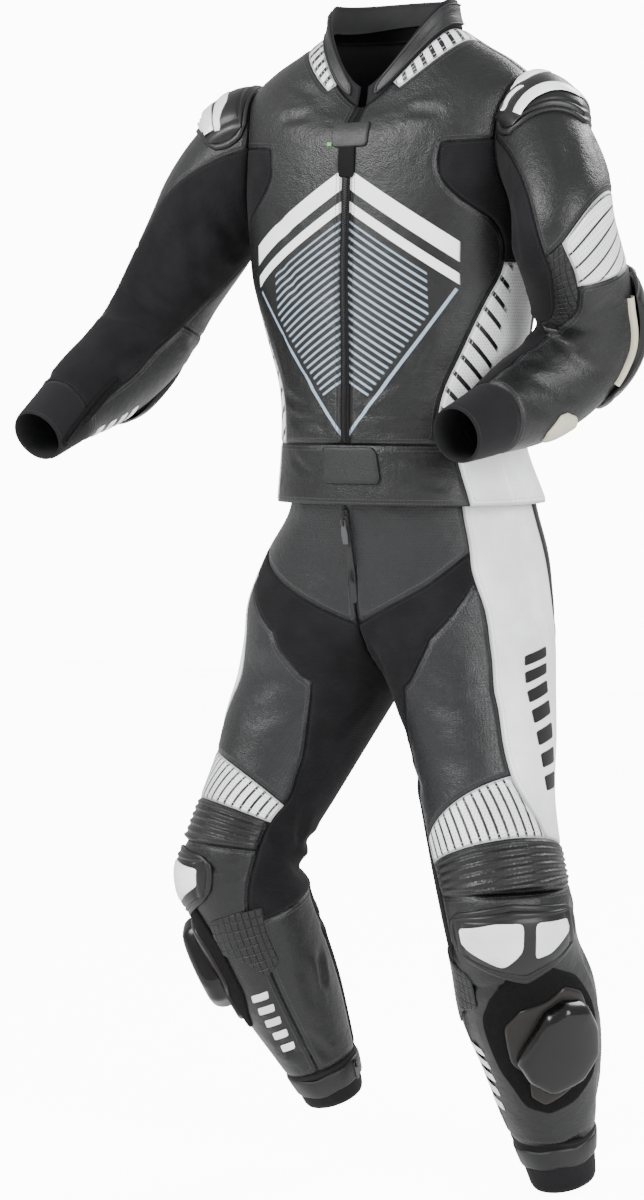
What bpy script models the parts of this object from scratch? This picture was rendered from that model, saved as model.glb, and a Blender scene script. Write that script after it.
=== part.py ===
"""Two-piece leather motorcycle race suit, standing worn with nobody in it: hollow jacket and trousers,
arms bent forward, both legs turned out with bent knees. Metres, +Z up, front towards -Y, the wearer's
left towards +X, origin inside the neck at the height of the shoulders."""
from collections import namedtuple

import bmesh
import bpy
import numpy as np
from mathutils import Matrix

WALL = 0.0022  # leather and the stretch fabric with its lining
SEAM = 0.00015  # each piece stops this far short of its seam line
LIFT = 0.0006  # air under a piece that is sewn on top
ZIP_LIFT = 0.0016  # how far a zip stands in front of the cloth beside it
ZIP_HALF = 0.006  # half the width of the front zip
BEND = 0.8  # rings to each side over which a bend of an arm or leg is eased
SAME_POINT = 2e-5  # points of two nets this near are one
TORSO_REACH = (0.5, 0.01)  # steps round and along a surface over which its direction is measured
LIMB_REACH = (0.002, 0.02)
RIB = 0.0024  # how far the ribs stand up
COLLAR_HEIGHT = 0.036
COLLAR_LEAN = 0.010  # how far its top leans in over the neck seam
COLLAR_TRIM = 0.0012  # how far the leather trim stands up on the collar
COLLAR_TRIM_FROM, COLLAR_TRIM_TO = 10, 110  # degrees from the zip
FLAP = 0.0026  # thickness of the flap at the top of the front zip
TAB = 0.0032  # thickness of the tab that closes the waistband
FLY = 0.0018  # thickness of the zip of the trousers

# Rings of the jacket body from the hem up to the neck seam. front and back are depths from the body's axis.
TorsoRing = namedtuple("TorsoRing", "name z_side z_front z_back half_width front back square shift")
TORSO = [
    TorsoRing("hem", -0.552, -0.552, -0.552, 0.168, 0.132, 0.188, 2.2, 0.018),
    TorsoRing("waist", -0.478, -0.478, -0.478, 0.152, 0.131, 0.166, 2.15, 0.009),
    TorsoRing("belly", -0.410, -0.410, -0.410, 0.153, 0.129, 0.152, 2.15, 0.007),
    TorsoRing("ribcage", -0.340, -0.340, -0.340, 0.173, 0.125, 0.144, 2.2, 0.004),
    TorsoRing("lower_chest", -0.275, -0.275, -0.275, 0.190, 0.121, 0.140, 2.25, 0.000),
    TorsoRing("armpit", -0.210, -0.210, -0.210, 0.197, 0.118, 0.138, 2.3, 0.000),
    TorsoRing("chest", -0.150, -0.152, -0.148, 0.202, 0.115, 0.134, 2.3, 0.000),
    TorsoRing("upper_chest", -0.090, -0.105, -0.090, 0.204, 0.110, 0.126, 2.25, 0.000),
    TorsoRing("shoulder", -0.040, -0.084, -0.038, 0.198, 0.100, 0.112, 2.15, 0.000),
    TorsoRing("slope", -0.010, -0.074, -0.004, 0.168, 0.091, 0.096, 2.1, 0.000),
    TorsoRing("trapezius", 0.014, -0.068, 0.022, 0.126, 0.085, 0.086, 2.05, 0.000),
    TorsoRing("neck", 0.036, -0.063, 0.042, 0.090, 0.079, 0.078, 2.0, 0.000),
]

# Rings of each sleeve: centre (out is away from the body's middle), half sizes, and the direction in
# which the outer seam line faces.
SleeveRing = namedtuple("SleeveRing", "name out back up half_outer half_side line_out line_back line_up")
SLEEVE = {
    "left": [
        SleeveRing("shoulder", 0.224, -0.018, -0.098, 0.098, 0.086, 0.62, 0.00, 0.78),
        SleeveRing("deltoid", 0.248, -0.050, -0.153, 0.077, 0.077, 0.85, 0.12, 0.42),
        SleeveRing("biceps", 0.277, -0.074, -0.216, 0.065, 0.070, 0.85, 0.40, 0.00),
        SleeveRing("above_elbow", 0.268, -0.012, -0.283, 0.063, 0.066, 0.62, 0.70, -0.10),
        SleeveRing("elbow", 0.261, 0.021, -0.343, 0.064, 0.066, 0.50, 0.75, -0.40),
        SleeveRing("under_elbow", 0.238, 0.000, -0.392, 0.060, 0.061, 0.50, 0.55, -0.66),
        SleeveRing("forearm", 0.213, -0.048, -0.424, 0.056, 0.057, 0.50, 0.40, -0.75),
        SleeveRing("wrist", 0.198, -0.110, -0.447, 0.043, 0.046, 0.50, 0.30, -0.80),
        SleeveRing("cuff", 0.187, -0.170, -0.464, 0.035, 0.036, 0.50, 0.20, -0.85),
    ],
    "right": [
        SleeveRing("shoulder", 0.222, 0.002, -0.096, 0.098, 0.086, 0.66, 0.00, 0.75),
        SleeveRing("deltoid", 0.250, 0.000, -0.145, 0.079, 0.079, 0.88, 0.18, 0.36),
        SleeveRing("biceps", 0.283, -0.006, -0.207, 0.070, 0.072, 0.80, 0.55, 0.00),
        SleeveRing("above_elbow", 0.326, -0.015, -0.277, 0.063, 0.065, 0.45, 0.85, -0.20),
        SleeveRing("elbow", 0.356, -0.032, -0.340, 0.062, 0.064, 0.10, 0.90, -0.40),
        SleeveRing("under_elbow", 0.368, -0.077, -0.381, 0.060, 0.061, 0.00, 0.75, -0.65),
        SleeveRing("forearm", 0.373, -0.132, -0.412, 0.055, 0.056, 0.00, 0.50, -0.85),
        SleeveRing("wrist", 0.376, -0.187, -0.441, 0.043, 0.045, 0.00, 0.40, -0.90),
        SleeveRing("cuff", 0.380, -0.240, -0.470, 0.035, 0.036, 0.00, 0.35, -0.90),
    ],
}
# The armhole, how far along the sleeve takes its round form, and how far its seam runs down to the armpit.
Armhole = namedtuple("Armhole", "angle half_angle bottom top blend drop level_at")
ARMHOLE = Armhole(92.0, 34.0, 5.05, 8.40, 1.6, 1.8, 4.0)

# Rings of each trouser half. facing is how far the knee turns out, turn how far the ring tips with the leg.
LegRing = namedtuple("LegRing", "name out back up half_width front rear facing turn square")
LEG = {
    "left": [
        LegRing("waist", 0.012, 0.016, -0.500, 0.1505, 0.137, 0.145, 0, 0.0, 2.15),
        LegRing("belt", 0.014, 0.026, -0.560, 0.158, 0.142, 0.146, 0, 0.0, 2.1),
        LegRing("hip", 0.020, 0.036, -0.620, 0.162, 0.136, 0.146, 0, 0.0, 2.2),
        LegRing("seat", 0.045, 0.034, -0.682, 0.147, 0.130, 0.142, 0, 0.0, 2.1),
        LegRing("low_seat", 0.078, 0.028, -0.730, 0.122, 0.122, 0.132, 0, 0.0, 2.0),
        LegRing("crotch", 0.104, 0.018, -0.778, 0.104, 0.110, 0.114, 0, 0.0, 2.0),
        LegRing("thigh", 0.130, 0.002, -0.850, 0.091, 0.099, 0.098, 7, 0.5, 2.0),
        LegRing("low_thigh", 0.150, -0.021, -0.920, 0.084, 0.086, 0.085, 20, 0.9, 2.0),
        LegRing("above_knee", 0.176, -0.046, -0.985, 0.081, 0.080, 0.078, 30, 1.0, 2.0),
        LegRing("knee", 0.194, -0.052, -1.045, 0.081, 0.078, 0.074, 32, 1.0, 2.1),
        LegRing("under_knee", 0.192, -0.026, -1.105, 0.080, 0.074, 0.072, 32, 1.0, 2.1),
        LegRing("calf", 0.192, 0.008, -1.170, 0.086, 0.070, 0.070, 32, 1.0, 2.1),
        LegRing("low_calf", 0.194, 0.040, -1.240, 0.077, 0.064, 0.064, 32, 1.0, 2.0),
        LegRing("ankle", 0.190, 0.066, -1.310, 0.063, 0.055, 0.054, 32, 1.0, 2.0),
        LegRing("cuff", 0.190, 0.088, -1.365, 0.050, 0.046, 0.045, 32, 1.0, 2.0),
        LegRing("hem", 0.193, 0.104, -1.416, 0.042, 0.041, 0.041, 32, 1.0, 2.0),
    ],
    "right": [
        LegRing("waist", -0.012, 0.016, -0.500, 0.1505, 0.137, 0.145, 0, 0.0, 2.15),
        LegRing("belt", -0.008, 0.026, -0.560, 0.151, 0.142, 0.146, 0, 0.0, 2.1),
        LegRing("hip", 0.014, 0.036, -0.620, 0.174, 0.136, 0.146, 0, 0.0, 2.2),
        LegRing("seat", 0.058, 0.030, -0.682, 0.157, 0.130, 0.142, 0, 0.0, 2.1),
        LegRing("low_seat", 0.088, 0.020, -0.730, 0.128, 0.122, 0.130, 0, 0.0, 2.0),
        LegRing("crotch", 0.113, 0.016, -0.778, 0.113, 0.108, 0.112, 0, 0.0, 2.0),
        LegRing("thigh", 0.138, -0.008, -0.845, 0.093, 0.096, 0.098, 12, 0.45, 2.0),
        LegRing("low_thigh", 0.153, -0.036, -0.905, 0.078, 0.083, 0.083, 34, 0.85, 2.0),
        LegRing("above_knee", 0.168, -0.062, -0.960, 0.072, 0.076, 0.076, 52, 1.0, 2.0),
        LegRing("knee", 0.178, -0.072, -1.015, 0.074, 0.080, 0.076, 58, 1.0, 2.1),
        LegRing("under_knee", 0.174, -0.058, -1.070, 0.074, 0.079, 0.076, 58, 1.0, 2.1),
        LegRing("calf", 0.164, -0.030, -1.130, 0.073, 0.075, 0.073, 58, 1.0, 2.1),
        LegRing("low_calf", 0.154, 0.000, -1.192, 0.067, 0.070, 0.068, 58, 1.0, 2.0),
        LegRing("ankle", 0.142, 0.030, -1.256, 0.055, 0.056, 0.056, 58, 1.0, 2.0),
        LegRing("cuff", 0.132, 0.052, -1.305, 0.046, 0.045, 0.045, 58, 1.0, 2.0),
        LegRing("hem", 0.127, 0.064, -1.336, 0.041, 0.040, 0.040, 58, 1.0, 2.0),
    ],
}
CROTCH = 5.0  # number of the crotch ring
HAND = {"left": 1.0, "right": -1.0}

# Seam lines: place along the body part, then place round it. The jacket's are in degrees from the zip.
Seam = namedtuple("Seam", "along around")


def seam(*points):
    return [Seam(*point) for point in points]


FRONT_SIDE_SEAM = seam(
    (1.0, 45), (1.9, 48), (2.5, 53), (3.05, 57), (3.6, 62), (4.3, 69), (5.05, 61), (5.5, 45), (5.9, 37),
    (6.4, 35), (7.0, 37), (8.4, 46), (9.9, 50), (11.0, 50))
BACK_SIDE_SEAM = seam(
    (1.0, 122), (2.5, 112), (3.6, 106), (4.3, 104), (5.05, 114), (6.7, 146), (8.4, 130), (11.0, 130))
BODY_STEPS = [4, 3, 3, 4]  # zip to front seam, to the side line, to the back seam, to the centre back
BODY_LEVELS = [(1.0, 4.3, 8), (4.3, 5.05, 2)]  # steps up the body below the armholes
YOKE_LEVELS = [(8.4, 10.3, 3), (10.3, 11.0, 2)]
ARMHOLE_STEPS = 8

# Round each sleeve: the back edge of the striped patch, the edge of the moulded grid, and both edges of the
# stretch cloth. Down it, each row's place in front and behind.
SleeveRow = namedtuple("SleeveRow", "name at_front at_back steps")
SleeveSeams = namedtuple("SleeveSeams", "stripe_back grid stretch_front stretch_back rows")
SLEEVE_SEAMS = {
    "left": SleeveSeams(
        stripe_back=seam((0, -1 / 16), (2, -0.06), (4, -0.08), (8, -0.06)),
        grid=seam((0, 2 / 16), (0.8, 0.21), (1.5, 0.25), (2.15, 0.24), (2.7, 0.28), (3.4, 0.39), (4.4, 0.36),
                  (6, 0.30), (8, 0.25)),
        stretch_front=seam((0, 4 / 16), (0.8, 0.28), (1.5, 0.31), (1.9, 0.308), (2.35, 0.332), (2.9, 0.38),
                           (3.4, 0.455), (4.6, 0.43), (6, 0.42), (8, 0.44)),
        stretch_back=seam((0, 11 / 16), (2, 0.68), (4, 0.69), (6, 0.74), (8, 0.74)),
        rows=[SleeveRow("top", 0.0, 0.0, 6), SleeveRow("stripe_top", 1.80, 1.58, 4),
              SleeveRow("stripe_end", 2.40, 3.00, 3), SleeveRow("grid_end", 3.40, 3.50, 6),
              SleeveRow("cuff", 6.85, 7.05, 3), SleeveRow("end", 8.0, 8.0, 0)]),
    "right": SleeveSeams(
        stripe_back=seam((0, -1 / 16), (2, -0.06), (4, -0.08), (8, -0.06)),
        grid=seam((0, 2 / 16), (1.2, 0.17), (2.4, 0.22), (3.0, 0.235), (3.7, 0.27), (4.4, 0.35), (5, 0.34),
                  (6, 0.30), (8, 0.25)),
        stretch_front=seam((0, 4 / 16), (1.0, 0.240), (2.4, 0.285), (3.2, 0.305), (3.8, 0.34), (4.4, 0.40),
                           (5.2, 0.40), (6, 0.40), (8, 0.42)),
        stretch_back=seam((0, 11 / 16), (2, 0.66), (4, 0.67), (6, 0.72), (8, 0.72)),
        rows=[SleeveRow("top", 0.0, 0.0, 6), SleeveRow("stripe_top", 2.60, 1.95, 4),
              SleeveRow("stripe_end", 3.58, 3.50, 3), SleeveRow("grid_end", 4.40, 4.30, 6),
              SleeveRow("cuff", 6.85, 7.05, 3), SleeveRow("end", 8.0, 8.0, 0)]),
}
SLEEVE_STEPS = [4, 3, 2, 7]  # round a sleeve, from the back of the stretch cloth to each seam in turn

# Down each leg: rows at six places round it (inseam front, stretch edge, front and back of the side panel,
# inner back seam, inseam back), and the seams round it.
LegRow = namedtuple("LegRow", "name at_front at_stretch at_side at_rear at_back at_rise steps")
LEG_ROWS = [
    LegRow("waist", 0.0, 0.0, 0.0, 0.0, 0.0, 0.0, 3),
    LegRow("stretch_top", 3.45, 2.50, 1.85, 1.80, 2.20, 2.40, 2),
    LegRow("stretch_end", 4.40, 3.70, 2.40, 3.10, 4.00, 4.20, 2),
    LegRow("crotch", 5.0, 5.0, 4.30, 4.40, 5.0, 5.0, 4),
    LegRow("stripe_top", 7.40, 7.60, 6.90, 7.00, 7.20, 7.40, 2),
    LegRow("rib_top", 8.0, 8.0, 8.0, 8.0, 8.0, 8.0, 12),
    LegRow("rib_end", 8.60, 8.55, 8.78, 8.75, 8.65, 8.60, 3),
    LegRow("shin_top", 9.95, 9.95, 9.95, 9.95, 9.95, 9.95, 7),
    LegRow("shin_end", 13.5, 13.5, 13.7, 13.6, 13.5, 13.5, 3),
    LegRow("hem", 15.0, 15.0, 15.0, 15.0, 15.0, 15.0, 0),
]
LegSeams = namedtuple("LegSeams", "inseam stretch side rear back")
LEG_SEAMS = {
    "left": LegSeams(
        inseam=seam((0, 0.0), (5, 0.0), (6, -0.01), (8, -0.03), (15, -0.03)),
        stretch=seam((0, 0.16), (2.5, 0.20), (3.7, 0.228), (4.3, 0.213), (5.1, 0.180), (6.0, 0.095),
                     (6.9, 0.056), (7.7, 0.040), (8.6, 0.055), (10, 0.05), (13.5, 0.04), (15, 0.04)),
        side=seam((0, 0.31), (1.2, 0.304), (2, 0.300), (3, 0.345), (5, 0.378), (6.9, 0.345), (8, 0.40),
                  (10, 0.44), (15, 0.44)),
        rear=seam((0, 0.56), (3, 0.58), (6, 0.60), (8, 0.56), (10, 0.56), (15, 0.56)),
        back=seam((0, 0.84), (4, 0.88), (5, 0.86), (6, 0.82), (8, 0.82), (10, 0.84), (15, 0.86))),
    "right": LegSeams(
        inseam=seam((0, 0.0), (5, 0.0), (5.6, -0.02), (6.7, -0.08), (8, -0.12), (15, -0.11)),
        stretch=seam((0, 0.16), (2.5, 0.215), (3.7, 0.238), (4.45, 0.215), (5.1, 0.180), (6.0, 0.105),
                     (6.85, 0.020), (7.6, -0.030), (8.6, -0.030), (10, 0.0), (13.5, 0.0), (15, 0.0)),
        side=seam((0, 0.34), (1.2, 0.345), (2, 0.350), (3, 0.370), (5, 0.370), (6.9, 0.355), (8, 0.39),
                  (10, 0.42), (15, 0.44)),
        rear=seam((0, 0.56), (3, 0.58), (6, 0.56), (8, 0.52), (10, 0.54), (15, 0.54)),
        back=seam((0, 0.84), (4, 0.88), (5, 0.84), (6, 0.78), (8, 0.76), (10, 0.77), (15, 0.78))),
}
LEG_STEPS = [3, 4, 4, 2, 3]  # round a leg, from the inseam to each seam in turn

# The waistband: degrees from the zip and steps of its front, plain side, ribbed side and back.
BeltPart = namedtuple("BeltPart", "name start end steps")
BELT = [BeltPart("front", 0, 54, 6), BeltPart("plain_side", 54, 80, 3), BeltPart("ribs", 80, 118, 16),
        BeltPart("back", 118, 180, 6)]
BELT_LEVELS = [0.0, 0.1, 0.5, 0.9, 1.0]

# Pieces sewn on top: place round and along the body part, how high they stand at rim and middle, and
# the air under them.
Pad = namedtuple("Pad", "around_from around_to top_from top_middle top_to end_from end_middle end_to "
                        "rim dome lift")
PADS = {
    "shoulder_cup": {
        "left": Pad(0.22, -0.20, 0.05, 0.05, 0.10, 0.46, 0.80, 0.46, 0.004, 0.010, 0.0018),
        "right": Pad(0.21, -0.20, 0.05, 0.05, 0.10, 0.50, 0.86, 0.46, 0.004, 0.010, 0.0018),
    },
    "elbow_slider": {
        "left": Pad(0.09, -0.09, 3.15, 2.95, 3.15, 4.75, 4.95, 4.75, 0.004, 0.011, 0.0016),
        "right": Pad(0.09, -0.09, 3.9, 3.7, 3.9, 5.5, 5.7, 5.5, 0.004, 0.011, 0.0016),
    },
    "knee_cup": {
        "left": Pad(0.095, 0.425, 8.84, 8.86, 9.05, 9.38, 9.90, 9.62, 0.003, 0.007, 0.0012),
        "right": Pad(0.095, 0.42, 8.84, 8.86, 9.05, 9.38, 9.90, 9.62, 0.003, 0.007, 0.0012),
    },
    "knee_slider": {
        "left": Pad(0.185, 0.375, 10.75, 10.40, 10.8, 11.75, 12.15, 11.75, 0.012, 0.018, 0.0007),
        "right": Pad(0.165, 0.355, 10.15, 9.95, 10.15, 11.35, 11.75, 11.35, 0.012, 0.020, 0.0007),
    },
}

# Colour, roughness and metal of each kind of cloth.
Look = namedtuple("Look", "colour rough metal")
LOOKS = {
    "leather": Look((0.045, 0.046, 0.050), 0.52, 0.0),
    "stretch": Look((0.018, 0.016, 0.020), 0.90, 0.0),
    "white": Look((0.82, 0.83, 0.84), 0.50, 0.0),
    "cup": Look((0.020, 0.020, 0.022), 0.45, 0.0),
    "puck": Look((0.012, 0.012, 0.013), 0.22, 0.0),
    "neoprene": Look((0.016, 0.015, 0.019), 0.80, 0.0),
    "zip": Look((0.010, 0.010, 0.011), 0.40, 0.0),
    "metal": Look((0.25, 0.25, 0.27), 0.30, 1.0),
}

JACKET_LOOKS = {
    "front_zip": "zip", "front": "leather", "back": "leather", "side": "white", "underarm": "stretch",
    "neck_stripes": "white", "collar": "neoprene", "sleeve_outer": "leather", "sleeve_inner": "stretch",
    "elbow_stripes": "white", "elbow_grid": "leather", "forearm": "leather", "sleeve_cuff": "neoprene"}
TROUSER_LOOKS = {
    "hip_front": "leather", "leg_stretch": "stretch", "thigh_side": "white", "thigh_front": "leather",
    "seat": "leather", "knee_stripes": "white", "knee_ribs": "leather", "shin": "leather",
    "calf_inner": "leather", "leg_cuff": "neoprene"}

# Pieces sewn over a net: its rows and columns, counted from the net's first point.
KNEE_RIBS = range(14, 25, 2)  # rows raised into ribs
FLAP_ROWS, FLAP_COLUMNS, FLAP_CORNER = [4.0, 4.5, 5.0, 5.5, 6.1], [-0.45, 0.0, 1.0, 1.35, 1.6], 0.35
TAB_ROWS, TAB_COLUMNS, TAB_CORNER = [1.6, 2.0, 2.5, 3.0, 3.7], [-1.44, -1.0, 0.0, 1.0, 1.5, 1.8], 0.3
FLY_ROWS, FLY_HALF = [0.85, 1.0, 1.5, 2.0, 2.55], 0.14
ANKLE_PULL_ROWS, ANKLE_PULL_COLUMN = [35.6, 36.2], 14.5

# Zip sliders: boxes along the zip, from its cloth up, and the pull tabs with the eye each hangs by.
Block = namedtuple("Block", "name width start end low top")
SLIDER = [Block("slider", 0.0084, -0.0070, 0.0055, -0.0014, 0.0022),
          Block("post", 0.0022, -0.0055, -0.0040, 0.0012, 0.0064),
          Block("foot", 0.0022, 0.0030, 0.0045, 0.0012, 0.0064),
          Block("bridge", 0.0022, -0.0055, 0.0045, 0.0050, 0.0064)]
Pull = namedtuple("Pull", "length width thick")
PULLS = {"fly": Pull(0.030, 0.009, 0.0016), "ankle": Pull(0.024, 0.007, 0.0016)}
EYE_HALF, EYE_SIDE = 0.0016, 0.0034  # half widths of the eye and of the tab beside it
EYE_ROWS = [-0.0008, 0.0008, 0.0072]  # end of the tab and both ends of the eye, down from the joint
EYE_HEIGHT, EYE_BACK = 0.0037, 0.0015  # from the slider's top to the joint, and back along the zip


def unit(v):
    return v / np.maximum(np.linalg.norm(v, axis=-1, keepdims=True), 1e-12)


def through(rows, t):
    """Smooth values at t, counted in rows of the table."""
    rows = np.asarray(rows, float)
    last = len(rows) - 1
    t = np.clip(np.asarray(t, float), 0.0, last)
    i = np.clip(np.floor(t).astype(int), 0, last - 1)
    f = (t - i)[..., None]
    p1, p2 = rows[i], rows[i + 1]
    p0 = np.where((i > 0)[..., None], rows[np.maximum(i - 1, 0)], 2 * p1 - p2)
    p3 = np.where((i < last - 1)[..., None], rows[np.minimum(i + 2, last)], 2 * p2 - p1)
    return 0.5 * (2 * p1 + (p2 - p0) * f + (2 * p0 - 5 * p1 + 4 * p2 - p3) * f**2
                  + (3 * p1 - p0 - 3 * p2 + p3) * f**3)


def seam_at(line, along):
    """Place round the body part where this seam runs, at each place along it."""
    a, r = np.array(line, float).T
    along = np.clip(np.asarray(along, float), a[0], a[-1])
    slopes = np.gradient(r, a)
    rising = np.diff(r) / np.diff(a)
    slopes[1:-1] *= rising[1:] * rising[:-1] > 0
    i = np.clip(np.searchsorted(a, along, side="right") - 1, 0, len(a) - 2)
    h = a[i + 1] - a[i]
    f = (along - a[i]) / h
    return ((2 * f**3 - 3 * f**2 + 1) * r[i] + (f**3 - 2 * f**2 + f) * h * slopes[i]
            + (3 * f**2 - 2 * f**3) * r[i + 1] + (f**3 - f**2) * h * slopes[i + 1])


def spread(values, steps):
    """Values at the seams and in even steps between them."""
    out = []
    for a, b, n in zip(values, values[1:], steps):
        out += [a + (b - a) * k / n for k in range(n)]
    return np.stack(out + [values[-1]], -1)


def stretches(parts):
    """Evenly stepped values over several stretches, each given as start, end and steps."""
    values = [parts[0][0]]
    for start, end, steps in parts:
        values += list(np.linspace(start, end, steps + 1)[1:])
    return np.array(values)


def torso(angle, level):
    """Point of the jacket body: degrees from the zip towards the wearer's left, rings up from the hem."""
    angle, level = np.broadcast_arrays(np.radians(angle), np.asarray(level, float))
    z_side, z_front, z_back, wide, front, back, square, shift = np.moveaxis(
        through([r[1:] for r in TORSO], level), -1, 0)
    s, c = np.sin(angle), np.cos(angle)
    far = (np.abs(s)**square + np.abs(c)**square) ** (-1 / square)
    ahead = c > 0
    z = z_side + np.where(ahead, (z_front - z_side) * (1 - np.abs(s)**1.5), (z_back - z_side) * c**2)
    return np.stack([shift + wide * s * far, -np.where(ahead, front, back) * c * far, z], -1)


def collar(angle, share):
    """Point of the collar: degrees from the zip, and 0 at the neck seam to 1 at the top edge."""
    angle, share = np.broadcast_arrays(np.asarray(angle, float), np.asarray(share, float))
    base = torso(angle, len(TORSO) - 1)
    ahead = np.clip(np.cos(np.radians(angle)), 0, 1)
    rise = COLLAR_HEIGHT * (1 - 0.33 * ahead**1.5)
    lean = COLLAR_LEAN * (1 - 0.3 * share)
    return base + share[..., None] * (rise[..., None] * (0, 0, 1) - unit(base * (1, 1, 0)) * lean[..., None])


def armhole_place(around):
    """Degrees round the body and ring number of the armhole: 0 shoulder, 0.25 front, 0.5 armpit."""
    turn = 2 * np.pi * np.asarray(around, float)
    middle, half = (ARMHOLE.bottom + ARMHOLE.top) / 2, (ARMHOLE.top - ARMHOLE.bottom) / 2
    return ARMHOLE.angle - ARMHOLE.half_angle * np.sin(turn), middle + half * np.cos(turn)


def sleeve(side, around, along):
    """Point of a sleeve: 0 outside, 0.25 in front, 0.5 inside, and rings down from the armhole."""
    around, along = np.broadcast_arrays(np.asarray(around, float), np.asarray(along, float))
    table = [r[1:] for r in SLEEVE[side]]
    below = (1 - np.cos(2 * np.pi * around)) / 2
    down = along + ARMHOLE.drop * below * np.clip(1 - along / ARMHOLE.level_at, 0, 1)**2
    ring = through(table, down)
    tangent = unit(through(table, down + BEND)[..., :3] - through(table, down - BEND)[..., :3])
    outer = unit(ring[..., 5:8] - np.sum(ring[..., 5:8] * tangent, -1, keepdims=True) * tangent)
    front = np.cross(tangent, outer)
    turn = 2 * np.pi * around
    tube = (ring[..., :3] + outer * (ring[..., 3] * np.cos(turn))[..., None]
            + front * (ring[..., 4] * np.sin(turn))[..., None])
    share = (1 - (1 - np.clip(along / ARMHOLE.blend, 0, 1))**2)[..., None]
    hand = HAND[side]
    angle, level = armhole_place(around)
    return (1 - share) * torso(hand * angle, level) + share * tube * (hand, 1, 1)


def leg_ring(side, around, along):
    """Point of a trouser half, before its inner edge is brought onto the other half's."""
    around, along = np.broadcast_arrays(np.asarray(around, float), np.asarray(along, float))
    table = [r[1:] for r in LEG[side]]
    ring = through(table, along)
    out, back, up, wide, front_half, rear_half, facing, turn, square = np.moveaxis(ring, -1, 0)
    tangent = unit(through(table, along + BEND)[..., :3] - through(table, along - BEND)[..., :3])
    turn = np.clip(turn, 0, 1)[..., None]
    tangent = unit(np.array([0.0, 0.0, -1.0]) * (1 - turn) + tangent * turn)
    facing = np.radians(facing)
    front = np.stack([np.sin(facing), -np.cos(facing), np.zeros_like(facing)], -1)
    front = unit(front - np.sum(front * tangent, -1, keepdims=True) * tangent)
    outward = np.cross(front, tangent)
    # above the crotch each half ends on the middle plane, where its ring is cut short
    ratio = np.maximum(wide / np.maximum(np.abs(out), 1e-6), 1.0)
    start = np.arctan((ratio**square - 1) ** (1 / square))
    start = np.where(along < CROTCH, np.where(out > 0, start, np.pi - start), 0.0)
    power = np.clip(1 + 1.2 * (1 - start / (np.pi / 2)), 1, 2.2)
    away = 1 - 2 * around
    angle = 2 * np.pi * around + start * np.sign(away) * np.minimum(np.abs(away), 1)**power
    c, s = np.cos(angle), np.sin(angle)
    far = (np.abs(c)**square + np.abs(s)**square) ** (-1 / square)
    return (np.stack([out, back, up], -1) - outward * (wide * c * far)[..., None]
            + front * (np.where(s > 0, front_half, rear_half) * s * far)[..., None])


def leg(side, around, along):
    """Point of a trouser half: 0 at the centre front or inseam, round the outside, 1 at the centre back."""
    around, along = np.broadcast_arrays(np.asarray(around, float), np.asarray(along, float))
    point = leg_ring(side, around, along)
    away = 1 - 2 * around
    for end, share in ((0.0, np.clip(away, 0, 1)**4), (1.0, np.clip(-away, 0, 1)**4)):
        own = leg_ring(side, end, along)
        rise = (leg_ring("left", end, along) + leg_ring("right", end, along)) / 2 * (0, 1, 1)
        point = point + (rise - own) * np.where(along <= CROTCH, share, 0.0)[..., None]
    return point * (HAND[side], 1, 1)


class Lattice:
    """A net of points on one surface, with the surface's outward directions at the points."""

    def __init__(self, surface, around, along, reach=TORSO_REACH):
        self.around = around
        self.points = surface(around, along)
        across = surface(around + reach[0], along) - surface(around - reach[0], along)
        down = surface(around, along + reach[1]) - surface(around, along - reach[1])
        self.normals = unit(np.cross(across, down))
        centre = self.points.mean(axis=1, keepdims=True)
        if np.sum(self.normals * (self.points - centre)) < 0:
            self.normals = -self.normals

    def at(self, row, column):
        """Points and outward directions between the net's own."""
        row, column = np.broadcast_arrays(np.asarray(row, float), np.asarray(column, float))
        rows, columns = self.points.shape[:2]
        i = np.clip(np.floor(row).astype(int), 0, rows - 2)
        j = np.clip(np.floor(column).astype(int), 0, columns - 2)
        f, g = (row - i)[..., None], (column - j)[..., None]

        def mix(a):
            return (a[i, j] * (1 - f) * (1 - g) + a[i + 1, j] * f * (1 - g)
                    + a[i, j + 1] * (1 - f) * g + a[i + 1, j + 1] * f * g)

        return mix(self.points), unit(mix(self.normals))


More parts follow.
